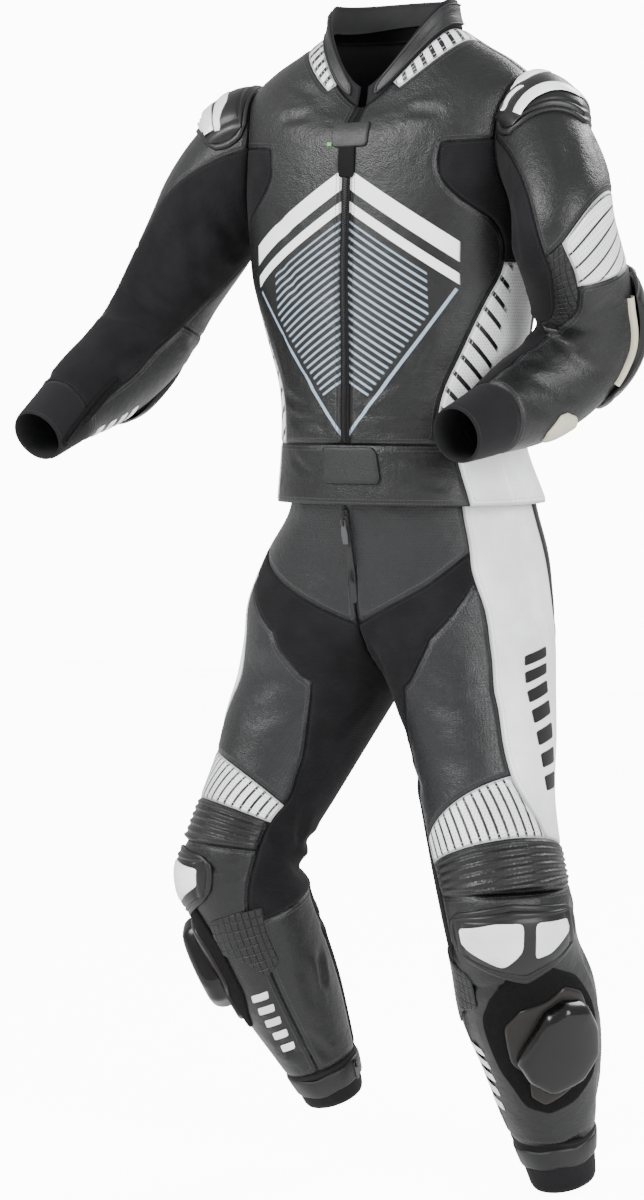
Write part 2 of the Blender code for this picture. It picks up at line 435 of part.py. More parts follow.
class Cloth:
    """Faces of several nets that share their edge points, each face belonging to a named piece."""

    def __init__(self):
        self.points, self.normals, self.index, self.faces = [], [], {}, {}

    def node(self, point, normal):
        """Number of the shared point at this place."""
        cell = np.floor(point / 0.001).astype(int)
        near = [k for dx in (-1, 0, 1) for dy in (-1, 0, 1) for dz in (-1, 0, 1)
                for k in self.index.get((cell[0] + dx, cell[1] + dy, cell[2] + dz), ())
                if np.linalg.norm(self.points[k] - point) < SAME_POINT]
        if not near:
            near = [len(self.points)]
            self.index.setdefault(tuple(cell), []).append(near[0])
            self.points.append(point)
            self.normals.append(np.zeros(3))
        self.normals[near[0]] = self.normals[near[0]] + normal
        return near[0]

    def add(self, net, piece_of):
        """Adds the net's faces and gives its points' numbers. piece_of(row, column) names a face's piece."""
        rows, columns = net.points.shape[:2]
        ids = [[self.node(net.points[i, j], net.normals[i, j]) for j in range(columns)] for i in range(rows)]
        for i in range(rows - 1):
            for j in range(columns - 1):
                piece = piece_of(i, j)
                if piece:
                    face = (ids[i][j], ids[i][j + 1], ids[i + 1][j + 1], ids[i + 1][j])
                    self.faces.setdefault(piece, []).append(face)
        return ids

    def inset(self, piece):
        """The piece's own points, drawn back from its seam lines by SEAM."""
        faces = self.faces[piece]
        edges = {}
        for face in faces:
            ring = [k for n, k in enumerate(face) if k != face[n - 1]]
            for a, b in zip(ring, ring[1:] + ring[:1]):
                edges[(a, b)] = face
        inward = {}
        for (a, b), face in edges.items():
            if (b, a) in edges:
                continue
            line = unit(self.points[b] - self.points[a])
            middle = sum(self.points[k] for k in face) / 4 - self.points[a]
            step = unit(middle - line * (middle @ line))
            for k in (a, b):
                inward.setdefault(k, []).append(step)
        moved = {k: self.points[k] for face in faces for k in face}
        for k, steps in inward.items():
            if len(steps) == 2:
                moved[k] = moved[k] + SEAM * sum(steps) / max(1 + steps[0] @ steps[1], 0.5)
            else:
                moved[k] = moved[k] + SEAM * unit(sum(steps))
        return moved


def new_object(name, bm, look, group):
    """Makes the mesh an object with its own material."""
    bmesh.ops.recalc_face_normals(bm, faces=bm.faces)
    if bm.calc_volume(signed=True) < 0:
        bmesh.ops.reverse_faces(bm, faces=bm.faces)
    mesh = bpy.data.meshes.new(name)
    bm.to_mesh(mesh)
    bm.free()
    material = bpy.data.materials.new(name + "_" + look)
    material.use_nodes = True
    shader = material.node_tree.nodes["Principled BSDF"]
    shader.inputs["Base Color"].default_value = (*LOOKS[look].colour, 1.0)
    shader.inputs["Roughness"].default_value = LOOKS[look].rough
    shader.inputs["Metallic"].default_value = LOOKS[look].metal
    mesh.materials.append(material)
    item = bpy.data.objects.new(name, mesh)
    group.objects.link(item)
    return item


def wall_of(bm, faces, outer, inner):
    """Turns a net of faces, given as point numbers, into a closed wall between the outer and inner points."""
    number = bm.verts.layers.int.new("number")
    verts = {}
    for k in {k for face in faces for k in face}:
        verts[k] = bm.verts.new(outer[k])
        verts[k][number] = k
    made = []
    for face in faces:
        ring = [k for n, k in enumerate(face) if k != face[n - 1]]
        if len(ring) > 2:
            made.append(bm.faces.new([verts[k] for k in ring]))
    new = bmesh.ops.extrude_face_region(bm, geom=made, use_keep_orig=True)["geom"]
    back = {item for item in new if isinstance(item, bmesh.types.BMVert)}
    for vert in back:
        vert.co = inner[vert[number]]
    # the edge walls of two pieces that meet are cut along the same diagonal, so that their gap stays even
    for face in [f for f in bm.faces if 0 < sum(v in back for v in f.verts) < len(f.verts)]:
        low = min((v for v in face.verts if v not in back), key=lambda v: v[number])
        high = max((v for v in face.verts if v in back), key=lambda v: v[number])
        bmesh.utils.face_split(face, low, high)


def build_piece(cloth, piece, look, group, raised):
    """One panel: a plain inside, and an outside with the ribs or trim in raised standing up from it."""
    outer, inner = {}, {}
    for k, point in cloth.inset(piece).items():
        normal = unit(cloth.normals[k])
        outer[k] = point + normal * raised.get(k, 0.0)
        inner[k] = point - normal * WALL
    bm = bmesh.new()
    wall_of(bm, cloth.faces[piece], outer, inner)
    return new_object(piece, bm, look, group)


def build_raised(name, points, normals, height, look, group, lift=LIFT):
    """A piece sewn on top: the points under it moved out by lift, and its top by height more."""
    rows, columns = points.shape[:2]
    height = np.broadcast_to(height, (rows, columns))
    low = {i * columns + j: points[i, j] + normals[i, j] * lift for i in range(rows) for j in range(columns)}
    top = {i * columns + j: points[i, j] + normals[i, j] * (lift + height[i, j])
           for i in range(rows) for j in range(columns)}
    faces = [(i * columns + j, i * columns + j + 1, (i + 1) * columns + j + 1, (i + 1) * columns + j)
             for i in range(rows - 1) for j in range(columns - 1)]
    bm = bmesh.new()
    wall_of(bm, faces, top, low)
    return new_object(name, bm, look, group)


def build_pad(name, surface, pad, look, group, rows=7, columns=9):
    """A moulded protector on a sleeve or leg: its outline from a Pad, standing higher in the middle."""
    x = np.linspace(-1, 1, columns)[None, :] * np.ones((rows, 1))
    y = np.linspace(-1, 1, rows)[:, None] * np.ones((1, columns))
    bend = 1 - np.abs(x)
    top = np.where(x < 0, pad.top_from, pad.top_to) * (1 - bend) + pad.top_middle * bend
    end = np.where(x < 0, pad.end_from, pad.end_to) * (1 - bend) + pad.end_middle * bend
    around = pad.around_from + (pad.around_to - pad.around_from) * (x + 1) / 2
    net = Lattice(surface, around, top + (end - top) * (y + 1) / 2, LIMB_REACH)
    height = pad.rim + pad.dome * (1 - np.abs(x)**3) * (1 - np.abs(y)**3)
    return build_raised(name, net.points, net.normals, height, look, group, pad.lift)


def zip_edge(level):
    """Degrees from the middle to the edge of the zip."""
    ring = through([r[1:] for r in TORSO], level)
    return np.degrees(np.arcsin(np.clip(ZIP_HALF / ring[..., 3], 0, 1)))


def body_columns(level, side_front, side_back):
    """Places round the body from the zip to the side, and from the side to the centre back."""
    front = spread([zip_edge(level), seam_at(FRONT_SIDE_SEAM, level), side_front], BODY_STEPS[:2])
    rear = spread([side_back, seam_at(BACK_SIDE_SEAM, level), np.full_like(level, 180.0)], BODY_STEPS[2:])
    return front, rear


def mirrored(columns):
    return np.concatenate([-columns[:, ::-1], columns], axis=1)


def body_net(level):
    """A net all round the jacket at these levels, right side first, with the zip in the middle."""
    line = np.full_like(level, ARMHOLE.angle)
    front, rear = body_columns(level, line, line)
    columns = mirrored(np.concatenate([front, rear[:, 1:]], axis=1))
    return Lattice(torso, columns, np.broadcast_to(level[:, None], columns.shape))


def strips_by_armholes():
    """Nets of the jacket's front and back between the zip or the centre back and the armholes."""
    angle, level = armhole_place(0.5 - np.arange(ARMHOLE_STEPS + 1) / 2 / ARMHOLE_STEPS)
    front, rear = body_columns(level, angle, 2 * ARMHOLE.angle - angle)
    nets = []
    for columns in (mirrored(front), np.concatenate([rear, 360 - rear[:, -2::-1]], axis=1)):
        nets.append(Lattice(torso, columns, np.broadcast_to(level[:, None], columns.shape)))
    return nets


def sleeve_net(side):
    seams = SLEEVE_SEAMS[side]
    stops = np.array([(r.at_back, r.at_back, r.at_front, r.at_front, r.at_back) for r in seams.rows])
    rows = spread(list(stops), [r.steps for r in seams.rows[:-1]])
    places = [seam_at(seams.stretch_back, rows[0]) - 1, seam_at(seams.stripe_back, rows[1]),
              seam_at(seams.grid, rows[2]), seam_at(seams.stretch_front, rows[3]),
              seam_at(seams.stretch_back, rows[4])]
    return Lattice(lambda u, v: sleeve(side, u, v), spread(places, SLEEVE_STEPS),
                   spread(list(rows), SLEEVE_STEPS), LIMB_REACH)


def leg_net(side):
    seams = LEG_SEAMS[side]
    rows = spread(list(np.array([r[1:7] for r in LEG_ROWS])), [r.steps for r in LEG_ROWS[:-1]])
    places = [seam_at(line, rows[n]) for n, line in enumerate(seams)]
    places.append(seam_at(seams.inseam, rows[5]) + 1)
    return Lattice(lambda u, v: leg(side, u, v), spread(places, LEG_STEPS), spread(list(rows), LEG_STEPS),
                   LIMB_REACH)


FRONT_STEPS = sum(BODY_STEPS[:2])
HALF_STEPS = sum(BODY_STEPS) + 1  # points from the zip's edge to the centre back


def ring_place(column):
    """Side, and face column counted from the zip, of a face column in a net all round the body."""
    if column == HALF_STEPS - 1:
        return "zip", 0
    return ("right", HALF_STEPS - 2 - column) if column < HALF_STEPS else ("left", column - HALF_STEPS)


def low_piece(row, column):
    """Piece of the jacket's body below the armholes."""
    side, c = ring_place(column)
    if side == "zip":
        return "front_zip"
    if c < BODY_STEPS[0]:
        return "front_" + side
    if c < FRONT_STEPS + BODY_STEPS[2]:
        return ("side_" if row < BODY_LEVELS[0][2] else "underarm_") + side
    return "back"


def chest_piece(row, column):
    """Piece of the jacket's front beside the armholes."""
    if column == FRONT_STEPS:
        return "front_zip"
    side = "right" if column < FRONT_STEPS else "left"
    c = abs(column - FRONT_STEPS) - 1
    return ("underarm_" if c >= BODY_STEPS[0] and row < ARMHOLE_STEPS / 2 else "front_") + side


def yoke_piece(row, column):
    """Piece of the jacket's body over the shoulders."""
    side, c = ring_place(column)
    if side == "zip":
        return "front_zip"
    if row >= YOKE_LEVELS[0][2] and 2 <= c <= FRONT_STEPS:
        return "neck_stripes_" + side
    return "front_" + side if c < FRONT_STEPS else "back"


def sleeve_piece(side, row, column):
    shoulder, stripes, elbow, cuff = np.cumsum([r.steps for r in SLEEVE_SEAMS[side].rows[:4]])
    stripe, grid, stretch = np.cumsum(SLEEVE_STEPS[:3])
    if row >= cuff:
        return "sleeve_cuff_" + side
    if column >= stretch:
        return "sleeve_inner_" + side
    if column >= grid:
        return ("sleeve_outer_" if row < shoulder else "elbow_grid_" if row < elbow else "forearm_") + side
    if column >= stripe and shoulder <= row < stripes:
        return "elbow_stripes_" + side
    return ("sleeve_outer_" if row < stripes else "forearm_") + side


def leg_piece(side, row, column):
    starts = dict(zip((r.name for r in LEG_ROWS), np.cumsum([0] + [r.steps for r in LEG_ROWS])))
    zone = ("rise_front", "front", "side", "rear", "rise_back")[
        np.searchsorted(np.cumsum(LEG_STEPS[:4]), column, side="right")]
    if row >= starts["shin_end"]:
        return "leg_cuff_" + side
    if zone == "rear":
        return ("seat_" if row < starts["rib_end"] else "leg_stretch_") + side
    if row < starts["stretch_end"]:
        upper = "hip_front_" if row < starts["stretch_top"] else "leg_stretch_"
        return {"side": "thigh_side_", "rise_back": "seat_"}.get(zone, upper) + side
    if zone in ("rise_front", "rise_back"):
        return ("leg_stretch_" if row < starts["shin_top"] else "calf_inner_") + side
    if row >= starts["rib_end"]:
        return "shin_" + side
    if row >= starts["rib_top"]:
        return "knee_ribs_" + side
    if zone == "side":
        return "thigh_side_" + side
    return ("thigh_front_" if row < starts["stripe_top"] else "knee_stripes_") + side


def kind_of(piece):
    """The piece's name without its side."""
    return piece.removesuffix("_left").removesuffix("_right")


def cut_corners(rows, columns, ends, corner, first):
    """Rows and columns of a small piece, its corners at these end columns cut off."""
    rows, columns = np.array(rows)[:, None] * np.ones(len(columns)), first + np.array([columns])
    for end in ends:
        rows[:, end] += corner * np.sign(rows[len(rows) // 2, end] - rows[:, end])
    return rows, columns


def build_jacket(group):
    cloth = Cloth()
    cloth.add(body_net(stretches(BODY_LEVELS)), low_piece)
    chest, shoulders = strips_by_armholes()
    cloth.add(chest, chest_piece)
    cloth.add(shoulders, lambda row, column: "back")
    yoke = body_net(stretches(YOKE_LEVELS))
    cloth.add(yoke, yoke_piece)
    columns = np.repeat(yoke.around[-1:], 4, axis=0)
    neck = Lattice(collar, columns, np.linspace(0, 1, 4)[:, None] * np.ones(columns.shape), TORSO_REACH)
    ids = cloth.add(neck, lambda row, column: None if ring_place(column)[0] == "zip" else "collar")
    trim = {ids[i][j]: COLLAR_TRIM for i in (1, 2) for j, angle in enumerate(columns[0])
            if COLLAR_TRIM_FROM < abs(angle) < COLLAR_TRIM_TO}
    for side in HAND:
        cloth.add(sleeve_net(side), lambda row, column, side=side: sleeve_piece(side, row, column))
    for piece in sorted(cloth.faces):
        build_piece(cloth, piece, JACKET_LOOKS[kind_of(piece)], group, trim if piece == "collar" else {})
    # the flap over the zip's top has its corners cut off at one end
    points, normals = chest.at(*cut_corners(FLAP_ROWS, FLAP_COLUMNS, (0,), FLAP_CORNER, FRONT_STEPS))
    build_raised("zip_flap", points, normals, FLAP, "leather", group)


def build_waistband(group):
    cloth = Cloth()
    half = stretches([part[1:] for part in BELT])
    columns = np.concatenate([-half[:0:-1], half])
    level = np.array(BELT_LEVELS)[:, None] * np.ones(len(columns))
    net = Lattice(torso, np.broadcast_to(columns, level.shape), level)
    front, plain, ribbed, _ = BELT

    def piece_of(row, column):
        middle = (columns[column] + columns[column + 1]) / 2
        if abs(middle) < front.end:
            return "waistband_front"
        if abs(middle) > ribbed.end:
            return "waistband_back"
        return "waist_side_left" if middle > 0 else "waist_side_right"

    ids = cloth.add(net, piece_of)
    width = (ribbed.end - ribbed.start) / ribbed.steps
    ribs = {ids[i][j]: RIB for i in (1, 2, 3) for j, angle in enumerate(columns)
            if ribbed.start < abs(angle) < ribbed.end and round((abs(angle) - ribbed.start) / width) % 2}
    for piece in sorted(cloth.faces):
        look, raised = ("white", ribs) if kind_of(piece) == "waist_side" else ("leather", {})
        build_piece(cloth, piece, look, group, raised)
    # the tab's end has its corners cut off
    points, normals = net.at(*cut_corners(TAB_ROWS, TAB_COLUMNS, (-1,), TAB_CORNER, len(half) - 1))
    build_raised("waistband_tab", points, normals, TAB, "leather", group)


def build_block(name, size, place, axes, group):
    """A box of this size, its middle at place, its sides along the three axes."""
    bm = bmesh.new()
    turn = Matrix([list(column) for column in zip(*axes)]).to_4x4()
    matrix = Matrix.Translation(place) @ turn @ Matrix.Diagonal((*size, 1.0))
    bmesh.ops.create_cube(bm, size=1.0, matrix=matrix)
    return new_object(name, bm, "metal", group)


def join(item, others):
    """Joins the others into item, and leaves them out of the render."""
    for other in others:
        other.hide_render = True
        other.display_type = "WIRE"
        union = item.modifiers.new("with_" + other.name, "BOOLEAN")
        union.operation, union.solver, union.object = "UNION", "EXACT", other


def build_pull(name, holder, point, down, out, pull, group, joined):
    """A zip slider on its holder, with a bridge, and a pull tab whose eye hangs round the bridge."""
    down = unit(down)
    out = unit(out - down * (out @ down))
    axes = np.cross(down, out), down, out
    blocks = []
    for block in SLIDER:
        size = (block.width, block.end - block.start, block.top - block.low)
        place = point + down * (block.start + block.end) / 2 + out * (block.low + block.top) / 2
        blocks.append(build_block(name + "_" + block.name, size, place, axes, joined))
    join(holder, blocks)
    across = [-0.5, -EYE_HALF, EYE_HALF, 0.5]
    half = [EYE_SIDE, EYE_SIDE, EYE_SIDE, pull.width / 2, pull.width / 2 * 0.8]
    rows = list(zip([*EYE_ROWS, pull.length * 0.6, pull.length], half))
    middle = {i * 4 + j: axes[0] * np.clip(b, -w, w) + down * a
              for i, (a, w) in enumerate(rows) for j, b in enumerate(across)}
    faces = [(i * 4 + j, i * 4 + j + 1, i * 4 + j + 5, i * 4 + j + 4)
             for i in range(len(rows) - 1) for j in range(3) if (i, j) != (1, 1)]
    bm = bmesh.new()
    wall_of(bm, faces, {k: v + out * pull.thick / 2 for k, v in middle.items()},
            {k: v - out * pull.thick / 2 for k, v in middle.items()})
    tab = new_object(name, bm, "metal", group)
    tab.location = point + out * EYE_HEIGHT - down * EYE_BACK
    return tab


def build_trousers(group, joined):
    cloth = Cloth()
    nets, ribs, items = {}, {}, {}
    rib_columns = range(LEG_STEPS[0], sum(LEG_STEPS[:3]) + 1)
    for side in HAND:
        nets[side] = leg_net(side)
        ids = cloth.add(nets[side], lambda row, column, side=side: leg_piece(side, row, column))
        ribs.update({ids[i][j]: RIB for i in KNEE_RIBS for j in rib_columns})
    for piece in sorted(cloth.faces):
        kind = kind_of(piece)
        raised = ribs if kind == "knee_ribs" else {}
        items[piece] = build_piece(cloth, piece, TROUSER_LOOKS[kind], group, raised)
    # fly zip over the front seam
    rows = np.array(FLY_ROWS)
    right, left = (nets[side].at(rows, FLY_HALF) for side in ("right", "left"))
    middle, out = nets["left"].at(rows, 0.0)[0], unit(right[1] + left[1])
    points = np.stack([right[0], middle, left[0]], 1)
    fly = build_raised("fly_zip", points, np.repeat(out[:, None], 3, 1), FLY, "zip", group, ZIP_LIFT)
    down = middle[2] - middle[1]
    build_pull("fly_pull", fly, middle[1] + down * 0.08 + out[1] * (ZIP_LIFT + FLY), down, out[1],
               PULLS["fly"], group, joined)
    # slider of the right ankle zip
    (top, end), (out, _) = nets["right"].at(ANKLE_PULL_ROWS, ANKLE_PULL_COLUMN)
    build_pull("ankle_pull_right", items["leg_cuff_right"], top, end - top, out, PULLS["ankle"],
               group, joined)


def build_pads(group):
    for kind, sides in PADS.items():
        surface = sleeve if kind in ("shoulder_cup", "elbow_slider") else leg
        for side, pad in sides.items():
            build_pad(kind + "_" + side, lambda u, v: surface(side, u, v), pad,
                      "puck" if kind == "knee_slider" else "cup", group)


def main():
    for item in list(bpy.data.objects):
        bpy.data.objects.remove(item, do_unlink=True)
    group = bpy.data.collections.new("motorcycle_race_suit")
    joined = bpy.data.collections.new("joined_pieces")
    for collection in (group, joined):
        bpy.context.scene.collection.children.link(collection)
    build_jacket(group)
    build_waistband(group)
    build_trousers(group, joined)
    build_pads(group)


main()
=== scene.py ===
from collections import namedtuple

import bmesh
import bpy
import numpy as np
from mathutils import Matrix, Vector


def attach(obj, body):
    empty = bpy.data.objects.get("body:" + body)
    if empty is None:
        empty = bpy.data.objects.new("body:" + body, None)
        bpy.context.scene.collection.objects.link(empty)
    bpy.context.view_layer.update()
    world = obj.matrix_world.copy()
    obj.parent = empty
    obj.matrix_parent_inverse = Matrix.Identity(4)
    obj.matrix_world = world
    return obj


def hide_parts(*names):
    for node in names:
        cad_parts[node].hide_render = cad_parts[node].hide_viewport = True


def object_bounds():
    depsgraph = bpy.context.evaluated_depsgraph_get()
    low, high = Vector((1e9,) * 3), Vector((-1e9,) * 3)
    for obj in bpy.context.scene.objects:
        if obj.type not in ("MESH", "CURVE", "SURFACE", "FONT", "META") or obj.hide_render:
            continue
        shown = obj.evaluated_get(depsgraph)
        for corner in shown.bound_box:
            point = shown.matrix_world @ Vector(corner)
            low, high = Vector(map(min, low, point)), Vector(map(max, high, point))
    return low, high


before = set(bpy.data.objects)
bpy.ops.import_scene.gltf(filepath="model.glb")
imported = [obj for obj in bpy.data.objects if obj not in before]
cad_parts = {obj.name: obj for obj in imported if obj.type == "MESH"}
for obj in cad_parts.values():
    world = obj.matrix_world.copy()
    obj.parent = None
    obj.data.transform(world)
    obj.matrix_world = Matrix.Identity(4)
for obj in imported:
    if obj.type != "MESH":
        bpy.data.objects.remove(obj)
CAD_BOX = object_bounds()

ZIP_LIFT = 0.0016  # how far a zip stands in front of the cloth beside it
ZIP_HALF = 0.006  # half the width of the front zip
BEND = 0.8  # rings to each side over which a bend of an arm or leg is eased
SAME_POINT = 2e-5  # points of two nets this near are one
TORSO_REACH = (0.5, 0.01)  # steps round and along a surface over which its direction is measured
LIMB_REACH = (0.002, 0.02)
COLLAR_HEIGHT = 0.036
COLLAR_LEAN = 0.010  # how far its top leans in over the neck seam
FLY = 0.0018  # thickness of the zip of the trousers


def table(kind, *rows):
    return [kind(*row) for row in rows]


# Rings of the jacket body from the hem up to the neck seam. front and back are depths from the body's axis.
TorsoRing = namedtuple("TorsoRing", "name z_side z_front z_back half_width front back square shift")
TORSO = table(
    TorsoRing,
    ("hem", -0.552, -0.552, -0.552, 0.168, 0.132, 0.188, 2.2, 0.018),
    ("waist", -0.478, -0.478, -0.478, 0.152, 0.131, 0.166, 2.15, 0.009),
    ("belly", -0.410, -0.410, -0.410, 0.153, 0.129, 0.152, 2.15, 0.007),
    ("ribcage", -0.340, -0.340, -0.340, 0.173, 0.125, 0.144, 2.2, 0.004),
    ("lower_chest", -0.275, -0.275, -0.275, 0.190, 0.121, 0.140, 2.25, 0.000),
    ("armpit", -0.210, -0.210, -0.210, 0.197, 0.118, 0.138, 2.3, 0.000),
    ("chest", -0.150, -0.152, -0.148, 0.202, 0.115, 0.134, 2.3, 0.000),
    ("upper_chest", -0.090, -0.105, -0.090, 0.204, 0.110, 0.126, 2.25, 0.000),
    ("shoulder", -0.040, -0.084, -0.038, 0.198, 0.100, 0.112, 2.15, 0.000),
    ("slope", -0.010, -0.074, -0.004, 0.168, 0.091, 0.096, 2.1, 0.000),
    ("trapezius", 0.014, -0.068, 0.022, 0.126, 0.085, 0.086, 2.05, 0.000),
    ("neck", 0.036, -0.063, 0.042, 0.090, 0.079, 0.078, 2.0, 0.000))

# Rings of each sleeve: centre (out is away from the body's middle), half sizes, and the direction in
# which the outer seam line faces.
SleeveRing = namedtuple("SleeveRing", "name out back up half_outer half_side line_out line_back line_up")
SLEEVE = {
    "left": table(
        SleeveRing,
        ("shoulder", 0.224, -0.018, -0.098, 0.098, 0.086, 0.62, 0.00, 0.78),
        ("deltoid", 0.248, -0.050, -0.153, 0.077, 0.077, 0.85, 0.12, 0.42),
        ("biceps", 0.277, -0.074, -0.216, 0.065, 0.070, 0.85, 0.40, 0.00),
        ("above_elbow", 0.268, -0.012, -0.283, 0.063, 0.066, 0.62, 0.70, -0.10),
        ("elbow", 0.261, 0.021, -0.343, 0.064, 0.066, 0.50, 0.75, -0.40),
        ("under_elbow", 0.238, 0.000, -0.392, 0.060, 0.061, 0.50, 0.55, -0.66),
        ("forearm", 0.213, -0.048, -0.424, 0.056, 0.057, 0.50, 0.40, -0.75),
        ("wrist", 0.198, -0.110, -0.447, 0.043, 0.046, 0.50, 0.30, -0.80),
        ("cuff", 0.187, -0.170, -0.464, 0.035, 0.036, 0.50, 0.20, -0.85)),
    "right": table(
        SleeveRing,
        ("shoulder", 0.222, 0.002, -0.096, 0.098, 0.086, 0.66, 0.00, 0.75),
        ("deltoid", 0.250, 0.000, -0.145, 0.079, 0.079, 0.88, 0.18, 0.36),
        ("biceps", 0.283, -0.006, -0.207, 0.070, 0.072, 0.80, 0.55, 0.00),
        ("above_elbow", 0.326, -0.015, -0.277, 0.063, 0.065, 0.45, 0.85, -0.20),
        ("elbow", 0.356, -0.032, -0.340, 0.062, 0.064, 0.10, 0.90, -0.40),
        ("under_elbow", 0.368, -0.077, -0.381, 0.060, 0.061, 0.00, 0.75, -0.65),
        ("forearm", 0.373, -0.132, -0.412, 0.055, 0.056, 0.00, 0.50, -0.85),
        ("wrist", 0.376, -0.187, -0.441, 0.043, 0.045, 0.00, 0.40, -0.90),
        ("cuff", 0.380, -0.240, -0.470, 0.035, 0.036, 0.00, 0.35, -0.90)),
}
# The armhole, how far along the sleeve takes its round form, and how far its seam runs down to the armpit.
Armhole = namedtuple("Armhole", "angle half_angle bottom top blend drop level_at")
ARMHOLE = Armhole(92.0, 34.0, 5.05, 8.40, 1.6, 1.8, 4.0)

# Rings of each trouser half. facing is how far the knee turns out, turn how far the ring tips with the leg.
LegRing = namedtuple("LegRing", "name out back up half_width front rear facing turn square")
LEG = {
    "left": table(
        LegRing,
        ("waist", 0.012, 0.016, -0.500, 0.1505, 0.137, 0.145, 0, 0.0, 2.15),
        ("belt", 0.014, 0.026, -0.560, 0.158, 0.142, 0.146, 0, 0.0, 2.1),
        ("hip", 0.020, 0.036, -0.620, 0.162, 0.136, 0.146, 0, 0.0, 2.2),
        ("seat", 0.045, 0.034, -0.682, 0.147, 0.130, 0.142, 0, 0.0, 2.1),
        ("low_seat", 0.078, 0.028, -0.730, 0.122, 0.122, 0.132, 0, 0.0, 2.0),
        ("crotch", 0.104, 0.018, -0.778, 0.104, 0.110, 0.114, 0, 0.0, 2.0),
        ("thigh", 0.130, 0.002, -0.850, 0.091, 0.099, 0.098, 7, 0.5, 2.0),
        ("low_thigh", 0.150, -0.021, -0.920, 0.084, 0.086, 0.085, 20, 0.9, 2.0),
        ("above_knee", 0.176, -0.046, -0.985, 0.081, 0.080, 0.078, 30, 1.0, 2.0),
        ("knee", 0.194, -0.052, -1.045, 0.081, 0.078, 0.074, 32, 1.0, 2.1),
        ("under_knee", 0.192, -0.026, -1.105, 0.080, 0.074, 0.072, 32, 1.0, 2.1),
        ("calf", 0.192, 0.008, -1.170, 0.086, 0.070, 0.070, 32, 1.0, 2.1),
        ("low_calf", 0.194, 0.040, -1.240, 0.077, 0.064, 0.064, 32, 1.0, 2.0),
        ("ankle", 0.190, 0.066, -1.310, 0.063, 0.055, 0.054, 32, 1.0, 2.0),
        ("cuff", 0.190, 0.088, -1.365, 0.050, 0.046, 0.045, 32, 1.0, 2.0),
        ("hem", 0.193, 0.104, -1.416, 0.042, 0.041, 0.041, 32, 1.0, 2.0)),
    "right": table(
        LegRing,
        ("waist", -0.012, 0.016, -0.500, 0.1505, 0.137, 0.145, 0, 0.0, 2.15),
        ("belt", -0.008, 0.026, -0.560, 0.151, 0.142, 0.146, 0, 0.0, 2.1),
        ("hip", 0.014, 0.036, -0.620, 0.174, 0.136, 0.146, 0, 0.0, 2.2),
        ("seat", 0.058, 0.030, -0.682, 0.157, 0.130, 0.142, 0, 0.0, 2.1),
        ("low_seat", 0.088, 0.020, -0.730, 0.128, 0.122, 0.130, 0, 0.0, 2.0),
        ("crotch", 0.113, 0.016, -0.778, 0.113, 0.108, 0.112, 0, 0.0, 2.0),
        ("thigh", 0.138, -0.008, -0.845, 0.093, 0.096, 0.098, 12, 0.45, 2.0),
        ("low_thigh", 0.153, -0.036, -0.905, 0.078, 0.083, 0.083, 34, 0.85, 2.0),
        ("above_knee", 0.168, -0.062, -0.960, 0.072, 0.076, 0.076, 52, 1.0, 2.0),
        ("knee", 0.178, -0.072, -1.015, 0.074, 0.080, 0.076, 58, 1.0, 2.1),
        ("under_knee", 0.174, -0.058, -1.070, 0.074, 0.079, 0.076, 58, 1.0, 2.1),
        ("calf", 0.164, -0.030, -1.130, 0.073, 0.075, 0.073, 58, 1.0, 2.1),
        ("low_calf", 0.154, 0.000, -1.192, 0.067, 0.070, 0.068, 58, 1.0, 2.0),
        ("ankle", 0.142, 0.030, -1.256, 0.055, 0.056, 0.056, 58, 1.0, 2.0),
        ("cuff", 0.132, 0.052, -1.305, 0.046, 0.045, 0.045, 58, 1.0, 2.0),
        ("hem", 0.127, 0.064, -1.336, 0.041, 0.040, 0.040, 58, 1.0, 2.0)),
}
CROTCH = 5.0  # number of the crotch ring
HAND = {"left": 1.0, "right": -1.0}

# Seam lines: place along the body part, then place round it. The jacket's are in degrees from the zip.
Seam = namedtuple("Seam", "along around")


def seam(*points):
    return table(Seam, *points)


FRONT_SIDE_SEAM = seam(
    (1.0, 45), (1.9, 48), (2.5, 53), (3.05, 57), (3.6, 62), (4.3, 69), (5.05, 61), (5.5, 45), (5.9, 37),
    (6.4, 35), (7.0, 37), (8.4, 46), (9.9, 50), (11.0, 50))
BACK_SIDE_SEAM = seam(
    (1.0, 122), (2.5, 112), (3.6, 106), (4.3, 104), (5.05, 114), (6.7, 146), (8.4, 130), (11.0, 130))
BODY_STEPS = [4, 3, 3, 4]  # zip to front seam, to the side line, to the back seam, to the centre back
BODY_LEVELS = [(1.0, 4.3, 8), (4.3, 5.05, 2)]  # steps up the body below the armholes
YOKE_LEVELS = [(8.4, 10.3, 3), (10.3, 11.0, 2)]
ARMHOLE_STEPS = 8

